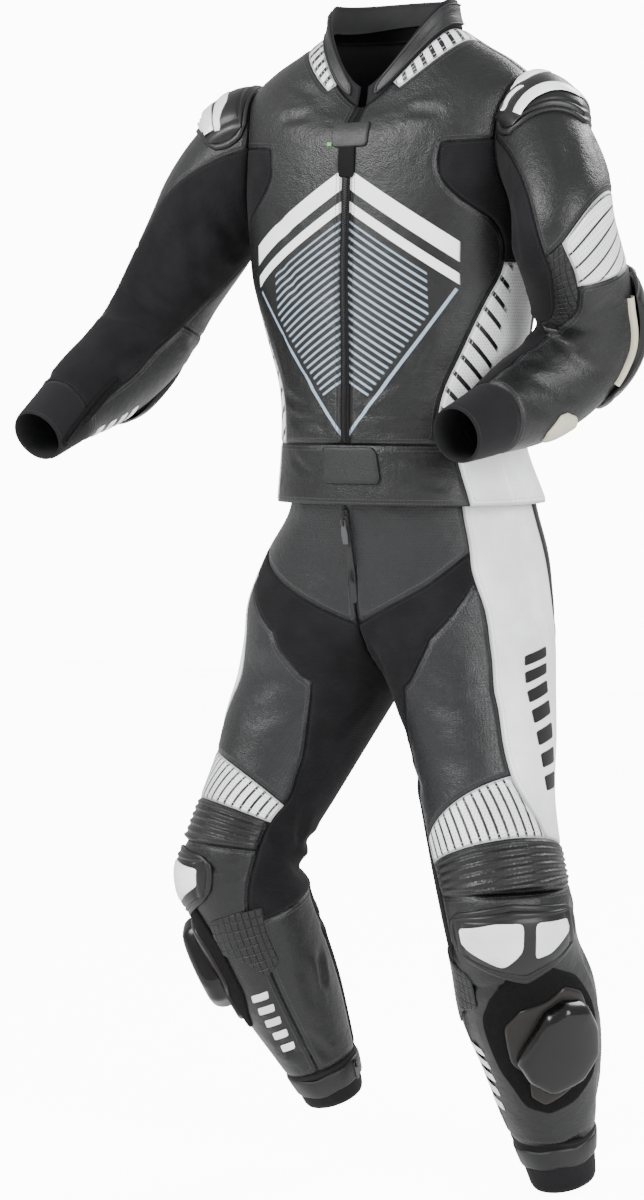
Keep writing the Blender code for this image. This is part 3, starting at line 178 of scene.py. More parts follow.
# Round each sleeve: the back edge of the striped patch, the edge of the moulded grid, and both edges of the
# stretch cloth. Down it, each row's place in front and behind.
SleeveRow = namedtuple("SleeveRow", "name at_front at_back steps")
SleeveSeams = namedtuple("SleeveSeams", "stripe_back grid stretch_front stretch_back rows")
SLEEVE_SEAMS = {
    "left": SleeveSeams(
        stripe_back=seam((0, -1 / 16), (2, -0.06), (4, -0.08), (8, -0.06)),
        grid=seam((0, 2 / 16), (0.8, 0.21), (1.5, 0.25), (2.15, 0.24), (2.7, 0.28), (3.4, 0.39), (4.4, 0.36),
                  (6, 0.30), (8, 0.25)),
        stretch_front=seam((0, 4 / 16), (0.8, 0.28), (1.5, 0.31), (1.9, 0.308), (2.35, 0.332), (2.9, 0.38),
                           (3.4, 0.455), (4.6, 0.43), (6, 0.42), (8, 0.44)),
        stretch_back=seam((0, 11 / 16), (2, 0.68), (4, 0.69), (6, 0.74), (8, 0.74)),
        rows=table(SleeveRow, ("top", 0.0, 0.0, 6), ("stripe_top", 1.80, 1.58, 4),
              ("stripe_end", 2.40, 3.00, 3), ("grid_end", 3.40, 3.50, 6),
              ("cuff", 6.85, 7.05, 3), ("end", 8.0, 8.0, 0))),
    "right": SleeveSeams(
        stripe_back=seam((0, -1 / 16), (2, -0.06), (4, -0.08), (8, -0.06)),
        grid=seam((0, 2 / 16), (1.2, 0.17), (2.4, 0.22), (3.0, 0.235), (3.7, 0.27), (4.4, 0.35), (5, 0.34),
                  (6, 0.30), (8, 0.25)),
        stretch_front=seam((0, 4 / 16), (1.0, 0.240), (2.4, 0.285), (3.2, 0.305), (3.8, 0.34), (4.4, 0.40),
                           (5.2, 0.40), (6, 0.40), (8, 0.42)),
        stretch_back=seam((0, 11 / 16), (2, 0.66), (4, 0.67), (6, 0.72), (8, 0.72)),
        rows=table(SleeveRow, ("top", 0.0, 0.0, 6), ("stripe_top", 2.60, 1.95, 4),
              ("stripe_end", 3.58, 3.50, 3), ("grid_end", 4.40, 4.30, 6),
              ("cuff", 6.85, 7.05, 3), ("end", 8.0, 8.0, 0))),
}
SLEEVE_STEPS = [4, 3, 2, 7]  # round a sleeve, from the back of the stretch cloth to each seam in turn

# Down each leg: rows at six places round it (inseam front, stretch edge, front and back of the side panel,
# inner back seam, inseam back), and the seams round it.
LegRow = namedtuple("LegRow", "name at_front at_stretch at_side at_rear at_back at_rise steps")
LEG_ROWS = table(
    LegRow,
    ("waist", 0.0, 0.0, 0.0, 0.0, 0.0, 0.0, 3),
    ("stretch_top", 3.45, 2.50, 1.85, 1.80, 2.20, 2.40, 2),
    ("stretch_end", 4.40, 3.70, 2.40, 3.10, 4.00, 4.20, 2),
    ("crotch", 5.0, 5.0, 4.30, 4.40, 5.0, 5.0, 4),
    ("stripe_top", 7.40, 7.60, 6.90, 7.00, 7.20, 7.40, 2),
    ("rib_top", 8.0, 8.0, 8.0, 8.0, 8.0, 8.0, 12),
    ("rib_end", 8.60, 8.55, 8.78, 8.75, 8.65, 8.60, 3),
    ("shin_top", 9.95, 9.95, 9.95, 9.95, 9.95, 9.95, 7),
    ("shin_end", 13.5, 13.5, 13.7, 13.6, 13.5, 13.5, 3),
    ("hem", 15.0, 15.0, 15.0, 15.0, 15.0, 15.0, 0))
LegSeams = namedtuple("LegSeams", "inseam stretch side rear back")
LEG_SEAMS = {
    "left": LegSeams(
        inseam=seam((0, 0.0), (5, 0.0), (6, -0.01), (8, -0.03), (15, -0.03)),
        stretch=seam((0, 0.16), (2.5, 0.20), (3.7, 0.228), (4.3, 0.213), (5.1, 0.180), (6.0, 0.095),
                     (6.9, 0.056), (7.7, 0.040), (8.6, 0.055), (10, 0.05), (13.5, 0.04), (15, 0.04)),
        side=seam((0, 0.31), (1.2, 0.304), (2, 0.300), (3, 0.345), (5, 0.378), (6.9, 0.345), (8, 0.40),
                  (10, 0.44), (15, 0.44)),
        rear=seam((0, 0.56), (3, 0.58), (6, 0.60), (8, 0.56), (10, 0.56), (15, 0.56)),
        back=seam((0, 0.84), (4, 0.88), (5, 0.86), (6, 0.82), (8, 0.82), (10, 0.84), (15, 0.86))),
    "right": LegSeams(
        inseam=seam((0, 0.0), (5, 0.0), (5.6, -0.02), (6.7, -0.08), (8, -0.12), (15, -0.11)),
        stretch=seam((0, 0.16), (2.5, 0.215), (3.7, 0.238), (4.45, 0.215), (5.1, 0.180), (6.0, 0.105),
                     (6.85, 0.020), (7.6, -0.030), (8.6, -0.030), (10, 0.0), (13.5, 0.0), (15, 0.0)),
        side=seam((0, 0.34), (1.2, 0.345), (2, 0.350), (3, 0.370), (5, 0.370), (6.9, 0.355), (8, 0.39),
                  (10, 0.42), (15, 0.44)),
        rear=seam((0, 0.56), (3, 0.58), (6, 0.56), (8, 0.52), (10, 0.54), (15, 0.54)),
        back=seam((0, 0.84), (4, 0.88), (5, 0.84), (6, 0.78), (8, 0.76), (10, 0.77), (15, 0.78))),
}
LEG_STEPS = [3, 4, 4, 2, 3]  # round a leg, from the inseam to each seam in turn

# The waistband: degrees from the zip and steps of its front, plain side, ribbed side and back.
BeltPart = namedtuple("BeltPart", "name start end steps")
BELT = table(BeltPart, ("front", 0, 54, 6), ("plain_side", 54, 80, 3), ("ribs", 80, 118, 16),
             ("back", 118, 180, 6))
BELT_LEVELS = [0.0, 0.1, 0.5, 0.9, 1.0]

# Protectors: place round and along the body part, and how high they stand at rim and middle.
Pad = namedtuple("Pad", "around_from around_to top_from top_middle top_to end_from end_middle end_to "
                        "rim dome")
PADS = {
    "shoulder_cup": {
        "left": Pad(0.22, -0.20, 0.05, 0.05, 0.10, 0.46, 0.80, 0.46, 0.004, 0.010),
        "right": Pad(0.21, -0.20, 0.05, 0.05, 0.10, 0.50, 0.86, 0.46, 0.004, 0.010),
    },
    "elbow_slider": {
        "left": Pad(0.09, -0.09, 3.15, 2.95, 3.15, 4.75, 4.95, 4.75, 0.004, 0.011),
        "right": Pad(0.09, -0.09, 3.9, 3.7, 3.9, 5.5, 5.7, 5.5, 0.004, 0.011),
    },
    "knee_cup": {
        "left": Pad(0.095, 0.425, 8.84, 8.86, 9.05, 9.38, 9.90, 9.62, 0.003, 0.007),
        "right": Pad(0.095, 0.42, 8.84, 8.86, 9.05, 9.38, 9.90, 9.62, 0.003, 0.007),
    },
    "knee_slider": {
        "left": Pad(0.185, 0.375, 10.75, 10.40, 10.8, 11.75, 12.15, 11.75, 0.012, 0.018),
        "right": Pad(0.165, 0.355, 10.15, 9.95, 10.15, 11.35, 11.75, 11.35, 0.012, 0.020),
    },
}

ANKLE_PULL_ROWS, ANKLE_PULL_COLUMN = [35.6, 36.2], 14.5

Block = namedtuple("Block", "name width start end low top")
SLIDER = table(Block, ("slider", 0.0084, -0.0070, 0.0055, -0.0014, 0.0022),
               ("post", 0.0022, -0.0055, -0.0040, 0.0012, 0.0064),
               ("foot", 0.0022, 0.0030, 0.0045, 0.0012, 0.0064),
               ("bridge", 0.0022, -0.0055, 0.0045, 0.0050, 0.0064))


def unit(v):
    return v / np.maximum(np.linalg.norm(v, axis=-1, keepdims=True), 1e-12)


def through(rows, t):
    """Smooth values at t, counted in rows of the table."""
    rows = np.asarray(rows, float)
    last = len(rows) - 1
    t = np.clip(np.asarray(t, float), 0.0, last)
    i = np.clip(np.floor(t).astype(int), 0, last - 1)
    f = (t - i)[..., None]
    p1, p2 = rows[i], rows[i + 1]
    p0 = np.where((i > 0)[..., None], rows[np.maximum(i - 1, 0)], 2 * p1 - p2)
    p3 = np.where((i < last - 1)[..., None], rows[np.minimum(i + 2, last)], 2 * p2 - p1)
    return 0.5 * (2 * p1 + (p2 - p0) * f + (2 * p0 - 5 * p1 + 4 * p2 - p3) * f**2
                  + (3 * p1 - p0 - 3 * p2 + p3) * f**3)


def seam_at(line, along):
    """Place round the body part where this seam runs, at each place along it."""
    a, r = np.array(line, float).T
    along = np.clip(np.asarray(along, float), a[0], a[-1])
    slopes = np.gradient(r, a)
    rising = np.diff(r) / np.diff(a)
    slopes[1:-1] *= rising[1:] * rising[:-1] > 0
    i = np.clip(np.searchsorted(a, along, side="right") - 1, 0, len(a) - 2)
    h = a[i + 1] - a[i]
    f = (along - a[i]) / h
    return ((2 * f**3 - 3 * f**2 + 1) * r[i] + (f**3 - 2 * f**2 + f) * h * slopes[i]
            + (3 * f**2 - 2 * f**3) * r[i + 1] + (f**3 - f**2) * h * slopes[i + 1])


def spread(values, steps):
    """Values at the seams and in even steps between them."""
    out = []
    for a, b, n in zip(values, values[1:], steps):
        out += [a + (b - a) * k / n for k in range(n)]
    return np.stack(out + [values[-1]], -1)


def stretches(parts):
    """Evenly stepped values over several stretches, each given as start, end and steps."""
    values = [parts[0][0]]
    for start, end, steps in parts:
        values += list(np.linspace(start, end, steps + 1)[1:])
    return np.array(values)


def torso(angle, level):
    """Point of the jacket body: degrees from the zip towards the wearer's left, rings up from the hem."""
    angle, level = np.broadcast_arrays(np.radians(angle), np.asarray(level, float))
    z_side, z_front, z_back, wide, front, back, square, shift = np.moveaxis(
        through([r[1:] for r in TORSO], level), -1, 0)
    s, c = np.sin(angle), np.cos(angle)
    far = (np.abs(s)**square + np.abs(c)**square) ** (-1 / square)
    ahead = c > 0
    z = z_side + np.where(ahead, (z_front - z_side) * (1 - np.abs(s)**1.5), (z_back - z_side) * c**2)
    return np.stack([shift + wide * s * far, -np.where(ahead, front, back) * c * far, z], -1)


def collar(angle, share):
    """Point of the collar: degrees from the zip, and 0 at the neck seam to 1 at the top edge."""
    angle, share = np.broadcast_arrays(np.asarray(angle, float), np.asarray(share, float))
    base = torso(angle, len(TORSO) - 1)
    ahead = np.clip(np.cos(np.radians(angle)), 0, 1)
    rise = COLLAR_HEIGHT * (1 - 0.33 * ahead**1.5)
    lean = COLLAR_LEAN * (1 - 0.3 * share)
    return base + share[..., None] * (rise[..., None] * (0, 0, 1) - unit(base * (1, 1, 0)) * lean[..., None])


def armhole_place(around):
    """Degrees round the body and ring number of the armhole: 0 shoulder, 0.25 front, 0.5 armpit."""
    turn = 2 * np.pi * np.asarray(around, float)
    middle, half = (ARMHOLE.bottom + ARMHOLE.top) / 2, (ARMHOLE.top - ARMHOLE.bottom) / 2
    return ARMHOLE.angle - ARMHOLE.half_angle * np.sin(turn), middle + half * np.cos(turn)


def sleeve(side, around, along):
    """Point of a sleeve: 0 outside, 0.25 in front, 0.5 inside, and rings down from the armhole."""
    around, along = np.broadcast_arrays(np.asarray(around, float), np.asarray(along, float))
    table = [r[1:] for r in SLEEVE[side]]
    below = (1 - np.cos(2 * np.pi * around)) / 2
    down = along + ARMHOLE.drop * below * np.clip(1 - along / ARMHOLE.level_at, 0, 1)**2
    ring = through(table, down)
    tangent = unit(through(table, down + BEND)[..., :3] - through(table, down - BEND)[..., :3])
    outer = unit(ring[..., 5:8] - np.sum(ring[..., 5:8] * tangent, -1, keepdims=True) * tangent)
    front = np.cross(tangent, outer)
    turn = 2 * np.pi * around
    tube = (ring[..., :3] + outer * (ring[..., 3] * np.cos(turn))[..., None]
            + front * (ring[..., 4] * np.sin(turn))[..., None])
    share = (1 - (1 - np.clip(along / ARMHOLE.blend, 0, 1))**2)[..., None]
    hand = HAND[side]
    angle, level = armhole_place(around)
    return (1 - share) * torso(hand * angle, level) + share * tube * (hand, 1, 1)


def leg_ring(side, around, along):
    """Point of a trouser half, before its inner edge is brought onto the other half's."""
    around, along = np.broadcast_arrays(np.asarray(around, float), np.asarray(along, float))
    table = [r[1:] for r in LEG[side]]
    ring = through(table, along)
    out, back, up, wide, front_half, rear_half, facing, turn, square = np.moveaxis(ring, -1, 0)
    tangent = unit(through(table, along + BEND)[..., :3] - through(table, along - BEND)[..., :3])
    turn = np.clip(turn, 0, 1)[..., None]
    tangent = unit(np.array([0.0, 0.0, -1.0]) * (1 - turn) + tangent * turn)
    facing = np.radians(facing)
    front = np.stack([np.sin(facing), -np.cos(facing), np.zeros_like(facing)], -1)
    front = unit(front - np.sum(front * tangent, -1, keepdims=True) * tangent)
    outward = np.cross(front, tangent)
    # above the crotch each half ends on the middle plane, where its ring is cut short
    ratio = np.maximum(wide / np.maximum(np.abs(out), 1e-6), 1.0)
    start = np.arctan((ratio**square - 1) ** (1 / square))
    start = np.where(along < CROTCH, np.where(out > 0, start, np.pi - start), 0.0)
    power = np.clip(1 + 1.2 * (1 - start / (np.pi / 2)), 1, 2.2)
    away = 1 - 2 * around
    angle = 2 * np.pi * around + start * np.sign(away) * np.minimum(np.abs(away), 1)**power
    c, s = np.cos(angle), np.sin(angle)
    far = (np.abs(c)**square + np.abs(s)**square) ** (-1 / square)
    return (np.stack([out, back, up], -1) - outward * (wide * c * far)[..., None]
            + front * (np.where(s > 0, front_half, rear_half) * s * far)[..., None])


def leg(side, around, along):
    """Point of a trouser half: 0 at the centre front or inseam, round the outside, 1 at the centre back."""
    around, along = np.broadcast_arrays(np.asarray(around, float), np.asarray(along, float))
    point = leg_ring(side, around, along)
    away = 1 - 2 * around
    for end, share in ((0.0, np.clip(away, 0, 1)**4), (1.0, np.clip(-away, 0, 1)**4)):
        own = leg_ring(side, end, along)
        rise = (leg_ring("left", end, along) + leg_ring("right", end, along)) / 2 * (0, 1, 1)
        point = point + (rise - own) * np.where(along <= CROTCH, share, 0.0)[..., None]
    return point * (HAND[side], 1, 1)


FRONT_STEPS = sum(BODY_STEPS[:2])
HALF_STEPS = sum(BODY_STEPS) + 1  # points from the zip's edge to the centre back


def ring_place(column):
    """Side, and face column counted from the zip, of a face column in a net all round the body."""
    if column == HALF_STEPS - 1:
        return "zip", 0
    return ("right", HALF_STEPS - 2 - column) if column < HALF_STEPS else ("left", column - HALF_STEPS)


def low_piece(row, column):
    """Piece of the jacket's body below the armholes."""
    side, c = ring_place(column)
    if side == "zip":
        return "front_zip"
    if c < BODY_STEPS[0]:
        return "front_" + side
    if c < FRONT_STEPS + BODY_STEPS[2]:
        return ("side_" if row < BODY_LEVELS[0][2] else "underarm_") + side
    return "back"


def chest_piece(row, column):
    """Piece of the jacket's front beside the armholes."""
    if column == FRONT_STEPS:
        return "front_zip"
    side = "right" if column < FRONT_STEPS else "left"
    c = abs(column - FRONT_STEPS) - 1
    return ("underarm_" if c >= BODY_STEPS[0] and row < ARMHOLE_STEPS / 2 else "front_") + side


def yoke_piece(row, column):
    """Piece of the jacket's body over the shoulders."""
    side, c = ring_place(column)
    if side == "zip":
        return "front_zip"
    if row >= YOKE_LEVELS[0][2] and 2 <= c <= FRONT_STEPS:
        return "neck_stripes_" + side
    return "front_" + side if c < FRONT_STEPS else "back"


def sleeve_piece(side, row, column):
    shoulder, stripes, elbow, cuff = np.cumsum([r.steps for r in SLEEVE_SEAMS[side].rows[:4]])
    stripe, grid, stretch = np.cumsum(SLEEVE_STEPS[:3])
    if row >= cuff:
        return "sleeve_cuff_" + side
    if column >= stretch:
        return "sleeve_inner_" + side
    if column >= grid:
        return ("sleeve_outer_" if row < shoulder else "elbow_grid_" if row < elbow else "forearm_") + side
    if column >= stripe and shoulder <= row < stripes:
        return "elbow_stripes_" + side
    return ("sleeve_outer_" if row < stripes else "forearm_") + side


def leg_piece(side, row, column):
    starts = dict(zip((r.name for r in LEG_ROWS), np.cumsum([0] + [r.steps for r in LEG_ROWS])))
    zone = ("rise_front", "front", "side", "rear", "rise_back")[
        np.searchsorted(np.cumsum(LEG_STEPS[:4]), column, side="right")]
    if row >= starts["shin_end"]:
        return "leg_cuff_" + side
    if zone == "rear":
        return ("seat_" if row < starts["rib_end"] else "leg_stretch_") + side
    if row < starts["stretch_end"]:
        upper = "hip_front_" if row < starts["stretch_top"] else "leg_stretch_"
        return {"side": "thigh_side_", "rise_back": "seat_"}.get(zone, upper) + side
    if zone in ("rise_front", "rise_back"):
        return ("leg_stretch_" if row < starts["shin_top"] else "calf_inner_") + side
    if row >= starts["rib_end"]:
        return "shin_" + side
    if row >= starts["rib_top"]:
        return "knee_ribs_" + side
    if zone == "side":
        return "thigh_side_" + side
    return ("thigh_front_" if row < starts["stripe_top"] else "knee_stripes_") + side


def kind_of(piece):
    """The piece's name without its side."""
    return piece.removesuffix("_left").removesuffix("_right")


FINE = 5  # steps of the fine nets for each step of the solids
SHELL = 0.0015  # thickness that the cloth shows at its edges
SEAM_DIP = 0.0014  # how far a seam draws in the edge of a panel
SEAM_REACH = 0.007  # how wide the drawn-in edge is
FOLD_REACH = 3.2  # half widths of a fold beyond which the cloth is left as it is
RIDGE_HEIGHT, RIDGE_AT, RIDGE_WIDTH = 0.45, 1.5, 0.7  # beside a fold, in its depths and half widths
STITCH = 0.0046  # length of a stitch with its gap
HOLES_ACROSS, HOLES_DOWN = 0.0046, 0.0040  # pitch of the perforation
MOULDED = 0.0085  # size of a moulded block
RIB_PITCH = 0.0021  # of the stretch cloth
PLACES, LEVELS = 270, 60  # steps round and along a body part between which lengths are measured
SAMPLES = 400  # points of a line whose length is measured
BATCH = 512  # points handled at once
PATCH_RINGS = 7  # from the middle of a piece sewn on top to where its rim starts
CUP_NET = 73, 57  # points across and down a protector
LIFT = 0.0006  # air under a piece that is sewn on top


# ---------------------------------------------------------------- nets of points
class Net:
    """A fine net over one surface: places, points, outward directions and lengths measured on the cloth."""

    def __init__(self, part, surface, around, along, reach, whole, down):
        self.part, self.around, self.along, self.whole = part, around, along, whole
        self.points = surface(around, along)
        across = surface(around + reach[0], along) - surface(around - reach[0], along)
        downward = surface(around, along + reach[1]) - surface(around, along - reach[1])
        self.normals = unit(np.cross(across, downward))
        if np.sum(self.normals * (self.points - self.points.mean(axis=1, keepdims=True))) < 0:
            self.normals = -self.normals
        self.v = down(along)
        self.places = np.linspace(-whole, 2 * whole, PLACES + 1)
        self.levels = np.linspace(along.min(), along.max(), LEVELS + 1)
        ring = surface(self.places[None, :], self.levels[:, None])
        step = np.linalg.norm(np.diff(ring, axis=1), axis=2)
        length = np.concatenate([np.zeros((LEVELS + 1, 1)), np.cumsum(step, axis=1)], axis=1)
        self.lengths = length - length[:, [PLACES // 3]]

    def arc(self, around, along):
        """Distance round the body part from place zero."""
        row = (along - self.levels[0]) / (self.levels[-1] - self.levels[0]) * LEVELS
        column = (around - self.places[0]) / (self.places[-1] - self.places[0]) * PLACES
        i, j = np.clip(row.astype(int), 0, LEVELS - 1), np.clip(column.astype(int), 0, PLACES - 1)
        f, g = row - i, column - j
        t = self.lengths
        return ((t[i, j] * (1 - f) + t[i + 1, j] * f) * (1 - g)
                + (t[i, j + 1] * (1 - f) + t[i + 1, j + 1] * f) * g)


def cut_at(around, whole):
    """The middle of the widest gap in the places round the body part, or None where there is none."""
    places = np.sort(np.unique(np.round(np.mod(around, whole), 6)))
    gaps = np.diff(np.append(places, places[0] + whole))
    k = gaps.argmax()
    return places[k] + gaps[k] / 2 if gaps[k] > whole * 0.04 else None


def fine(steps):
    return [n * FINE for n in steps]


def length_along(points):
    """Length from the first point of a line to each of its points."""
    return np.concatenate([[0], np.cumsum(np.linalg.norm(np.diff(points, axis=0), axis=1))])


def centre_length(rings, along):
    """Length down the middle of an arm or leg."""
    t = np.linspace(0, len(rings) - 1, SAMPLES)
    return np.interp(along, t, length_along(through([r[1:4] for r in rings], t)))


def torso_net(around, level):
    level = np.broadcast_to(level[:, None], around.shape)
    t = np.linspace(0, len(TORSO) - 1, SAMPLES)
    length = length_along(torso(60.0, t))
    return Net("torso", torso, around, level, TORSO_REACH, 360.0, lambda along: np.interp(along, t, length))


def zip_edge(level):
    ring = through([r[1:] for r in TORSO], level)
    return np.degrees(np.arcsin(np.clip(ZIP_HALF / ring[..., 3], 0, 1)))


def body_columns(level, side_front, side_back):
    """Places from the zip to the side line, and from there to the centre back."""
    front = spread([zip_edge(level), seam_at(FRONT_SIDE_SEAM, level), side_front], fine(BODY_STEPS[:2]))
    back = np.full_like(level, 180.0)
    return front, spread([side_back, seam_at(BACK_SIDE_SEAM, level), back], fine(BODY_STEPS[2:]))


def half_columns(level):
    """Places from the zip to the centre back where no armhole parts them."""
    line = np.full_like(level, ARMHOLE.angle)
    front, rear = body_columns(level, line, line)
    return np.concatenate([front, rear[:, 1:]], axis=1)


def mirrored(columns):
    zip_part = [columns[:, 0] * f for f in np.linspace(-1, 1, FINE + 1)[1:-1]]
    return np.concatenate([-columns[:, ::-1], np.stack(zip_part, 1), columns], axis=1)


def fine_parts(parts):
    return stretches([(start, end, steps * FINE) for start, end, steps in parts])


def jacket_nets():
    def ring_net(level):
        return torso_net(mirrored(half_columns(level)), level)

    steps = ARMHOLE_STEPS * FINE
    angle, level = armhole_place(0.5 - np.arange(steps + 1) / 2 / steps)
    front, rear = body_columns(level, angle, 2 * ARMHOLE.angle - angle)
    back = np.concatenate([rear, 360 - rear[:, -2::-1]], axis=1)
    nets = [(ring_net(fine_parts(BODY_LEVELS)), low_piece),
            (torso_net(mirrored(front), level), chest_piece),
            (torso_net(back, level), lambda row, column: "back"),
            (ring_net(fine_parts(YOKE_LEVELS)), yoke_piece)]
    for side in HAND:
        seams = SLEEVE_SEAMS[side]
        stops = np.array([(r.at_back, r.at_back, r.at_front, r.at_front, r.at_back) for r in seams.rows])
        rows = spread(list(stops), fine([r.steps for r in seams.rows[:-1]]))
        places = [seam_at(seams.stretch_back, rows[0]) - 1, seam_at(seams.stripe_back, rows[1]),
                  seam_at(seams.grid, rows[2]), seam_at(seams.stretch_front, rows[3]),
                  seam_at(seams.stretch_back, rows[4])]
        net = Net("sleeve_" + side, place_on("sleeve_" + side), spread(places, fine(SLEEVE_STEPS)),
                  spread(list(rows), fine(SLEEVE_STEPS)), LIMB_REACH, 1.0,
                  lambda along, side=side: centre_length(SLEEVE[side], along))
        nets.append((net, lambda row, column, side=side: sleeve_piece(side, row, column)))
    return nets


def belt_net():
    half = stretches([part[1:] for part in BELT])
    coarse = np.concatenate([-half[:0:-1], half])
    columns = np.interp(np.arange((len(coarse) - 1) * FINE + 1) / FINE, np.arange(len(coarse)), coarse)
    level = stretches([(a, b, FINE) for a, b in zip(BELT_LEVELS, BELT_LEVELS[1:])])
    front, plain_side, ribbed, _ = BELT

    def piece_of(row, column):
        middle = (coarse[column] + coarse[column + 1]) / 2
        if abs(middle) < front.end:
            return "waistband_front"
        if abs(middle) > ribbed.end:
            return "waistband_back"
        return "waist_side_left" if middle > 0 else "waist_side_right"

    return torso_net(np.broadcast_to(columns, (len(level), len(columns))), level), piece_of


def trouser_net(side):
    seams = LEG_SEAMS[side]
    rows = spread(list(np.array([r[1:7] for r in LEG_ROWS])), fine([r.steps for r in LEG_ROWS[:-1]]))
    places = [seam_at(line, rows[n]) for n, line in enumerate(seams)]
    places.append(seam_at(seams.inseam, rows[5]) + 1)
    net = Net("leg_" + side, place_on("leg_" + side), spread(places, fine(LEG_STEPS)),
              spread(list(rows), fine(LEG_STEPS)), LIMB_REACH, 1.0,
              lambda along: centre_length(LEG[side], along))
    return net, lambda row, column: leg_piece(side, row, column)


# ---------------------------------------------------------------- folds
def place_on(part):
    """The surface of a body part."""
    kind, _, side = part.partition("_")
    if kind in ("torso", "collar"):
        return torso if kind == "torso" else collar
    return (lambda u, v: sleeve(side, u, v)) if kind == "sleeve" else (lambda u, v: leg(side, u, v))


OUTWARD = {"torso": 1, "collar": 1, "sleeve_left": 1, "sleeve_right": -1, "leg_left": -1, "leg_right": 1}


def on(part):
    """Points of a body part with their outward directions."""
    surface, reach = place_on(part), TORSO_REACH if part in ("torso", "collar") else LIMB_REACH

    def at(u, v):
        across = surface(u + reach[0], v) - surface(u - reach[0], v)
        down = surface(u, v + reach[1]) - surface(u, v - reach[1])
        return surface(u, v), unit(np.cross(across, down)) * OUTWARD[part]

    return at


def fold_height(part, points):
    """Height of the soft folds: troughs below zero, with a low ridge on each side."""
    height = np.zeros(points.shape[:-1])
    t = np.linspace(0, 1, 9)
    for fold in table(Fold, *FOLDS.get(part, ())):
        around = fold.from_around + (fold.to_around - fold.from_around) * t
        along = fold.from_along + (fold.to_along - fold.from_along) * t + fold.bow * np.sin(np.pi * t)
        path = place_on(part)(around, along)
        depth, width = fold.depth / 1000, fold.width / 1000
        reach = width * FOLD_REACH
        near = np.all((points > path.min(axis=0) - reach) & (points < path.max(axis=0) + reach), axis=-1)
        p = points[near]
        if not len(p):
            continue
        best, place = np.full(len(p), np.inf), np.zeros(len(p))
        for k, (a, b) in enumerate(zip(path, path[1:])):
            ab = b - a
            f = np.clip(((p - a) @ ab) / (ab @ ab), 0, 1)
            d = np.linalg.norm(p - a - f[:, None] * ab, axis=1)
            place = np.where(d < best, (k + f) / (len(path) - 1), place)
            best = np.minimum(best, d)
        x = best / width
        end = np.clip(np.minimum(place, 1 - place) * 4, 0, 1)
        end = end * end * (3 - 2 * end)
        ridge = RIDGE_HEIGHT * np.exp(-((x - RIDGE_AT) / RIDGE_WIDTH)**2)
        height[near] += depth * end * (ridge - np.exp(-x**2))
    return height


# ---------------------------------------------------------------- materials
class Field:
    """A number or a vector worked out inside a material."""

    def __init__(self, shop, socket):
        self.shop, self.socket = shop, socket

    def math(self, operation, *others, clamp=False):
        return self.shop.node("Math", [self, *others], operation=operation, use_clamp=clamp)

    def __add__(self, other): return self.math("ADD", other)
    def __sub__(self, other): return self.math("SUBTRACT", other)
    def __mul__(self, other): return self.math("MULTIPLY", other)
    def __truediv__(self, other): return self.math("DIVIDE", other)
    def __rsub__(self, other): return self.shop.number(other).math("SUBTRACT", self)
    __radd__, __rmul__ = __add__, __mul__

    def abs(self): return self.math("ABSOLUTE")
    def wave(self): return (self * (2 * np.pi)).math("SINE")
    def part(self): return self.math("FRACT")
    def higher(self, other): return self.math("MAXIMUM", other)

    def step(self, low, high):
        """0 at low and 1 at high, eased; low may be the larger."""
        return self.shop.node("MapRange", [self, low, high, 0.0, 1.0], interpolation_type="SMOOTHSTEP")


class Shop:
    """Builds one material's nodes."""

    def __init__(self, name):
        self.material = bpy.data.materials.new(name)
        self.material.use_nodes = True
        self.tree = self.material.node_tree
        self.shader = self.tree.nodes["Principled BSDF"]
        self.place = Field(self, self.tree.nodes.new("ShaderNodeTexCoord").outputs["Object"])

    def node(self, kind, inputs=(), output=0, **settings):
        node = self.tree.nodes.new("ShaderNode" + kind)
        for key, value in settings.items():
            setattr(node, key, value)
        for socket, value in (inputs.items() if isinstance(inputs, dict) else zip(node.inputs, inputs)):
            socket = node.inputs[socket] if isinstance(socket, (str, int)) else socket
            if isinstance(value, Field):
                self.tree.links.new(value.socket, socket)
            else:
                socket.default_value = value
        return Field(self, node.outputs[output])

    def number(self, value):
        field = self.node("Value")
        field.socket.default_value = value
        return field

    def measure(self, name):
        return self.node("Attribute", attribute_name=name, output="Fac")

    def noise(self, scale, detail=2.0, rough=0.5):
        return self.node("TexNoise", {"Vector": self.place, "Scale": scale, "Detail": detail,
                                      "Roughness": rough})

    def cells(self, scale, feature="F1"):
        return self.node("TexVoronoi", {"Vector": self.place, "Scale": scale}, feature=feature)

    def blend(self, a, b, share):
        return self.node("Mix", {0: share, 6: a, 7: b}, output=2, data_type="RGBA")

    def finish(self, colour, rough, height=None, specular=0.5, **uniform):
        uniform["Specular IOR Level"] = specular
        for name, value in {"Base Color": colour, "Roughness": rough, **uniform}.items():
            if isinstance(value, Field):
                self.tree.links.new(value.socket, self.shader.inputs[name])
            else:
                self.shader.inputs[name].default_value = value
        if height is not None:
            bump = self.node("Bump", {"Height": height, "Distance": 1.0, "Strength": 1.0})
            self.tree.links.new(bump.socket, self.shader.inputs["Normal"])
        return self.material


def rgb(r, g, b):
    return (r, g, b, 1.0)


def darker(colour, share):
    return rgb(*(c * share for c in colour[:3]))


def stitches(shop, rows=(0.0028, 0.0072)):
    """Mask of the sewing thread beside the seams."""
    edge, run = shop.measure("edge"), shop.measure("run")
    dash = ((run / STITCH).part() - 0.5).abs().step(0.42, 0.34)
    line = None
    for row in rows:
        one = (edge - row).abs().step(0.0007, 0.0003)
        line = one if line is None else line.higher(one)
    return line * dash


def grain(shop, size=0.0019, depth=0.00022):
    """Height of the leather's grain with its creases and soft unevenness."""
    cells, creases = shop.cells(1 / size), shop.noise(90.0, 5.0, 0.6)
    return cells.step(0.0, 0.8) * depth + creases * (depth * 4.0) + shop.noise(14.0, 4.0, 0.6) * 0.0026


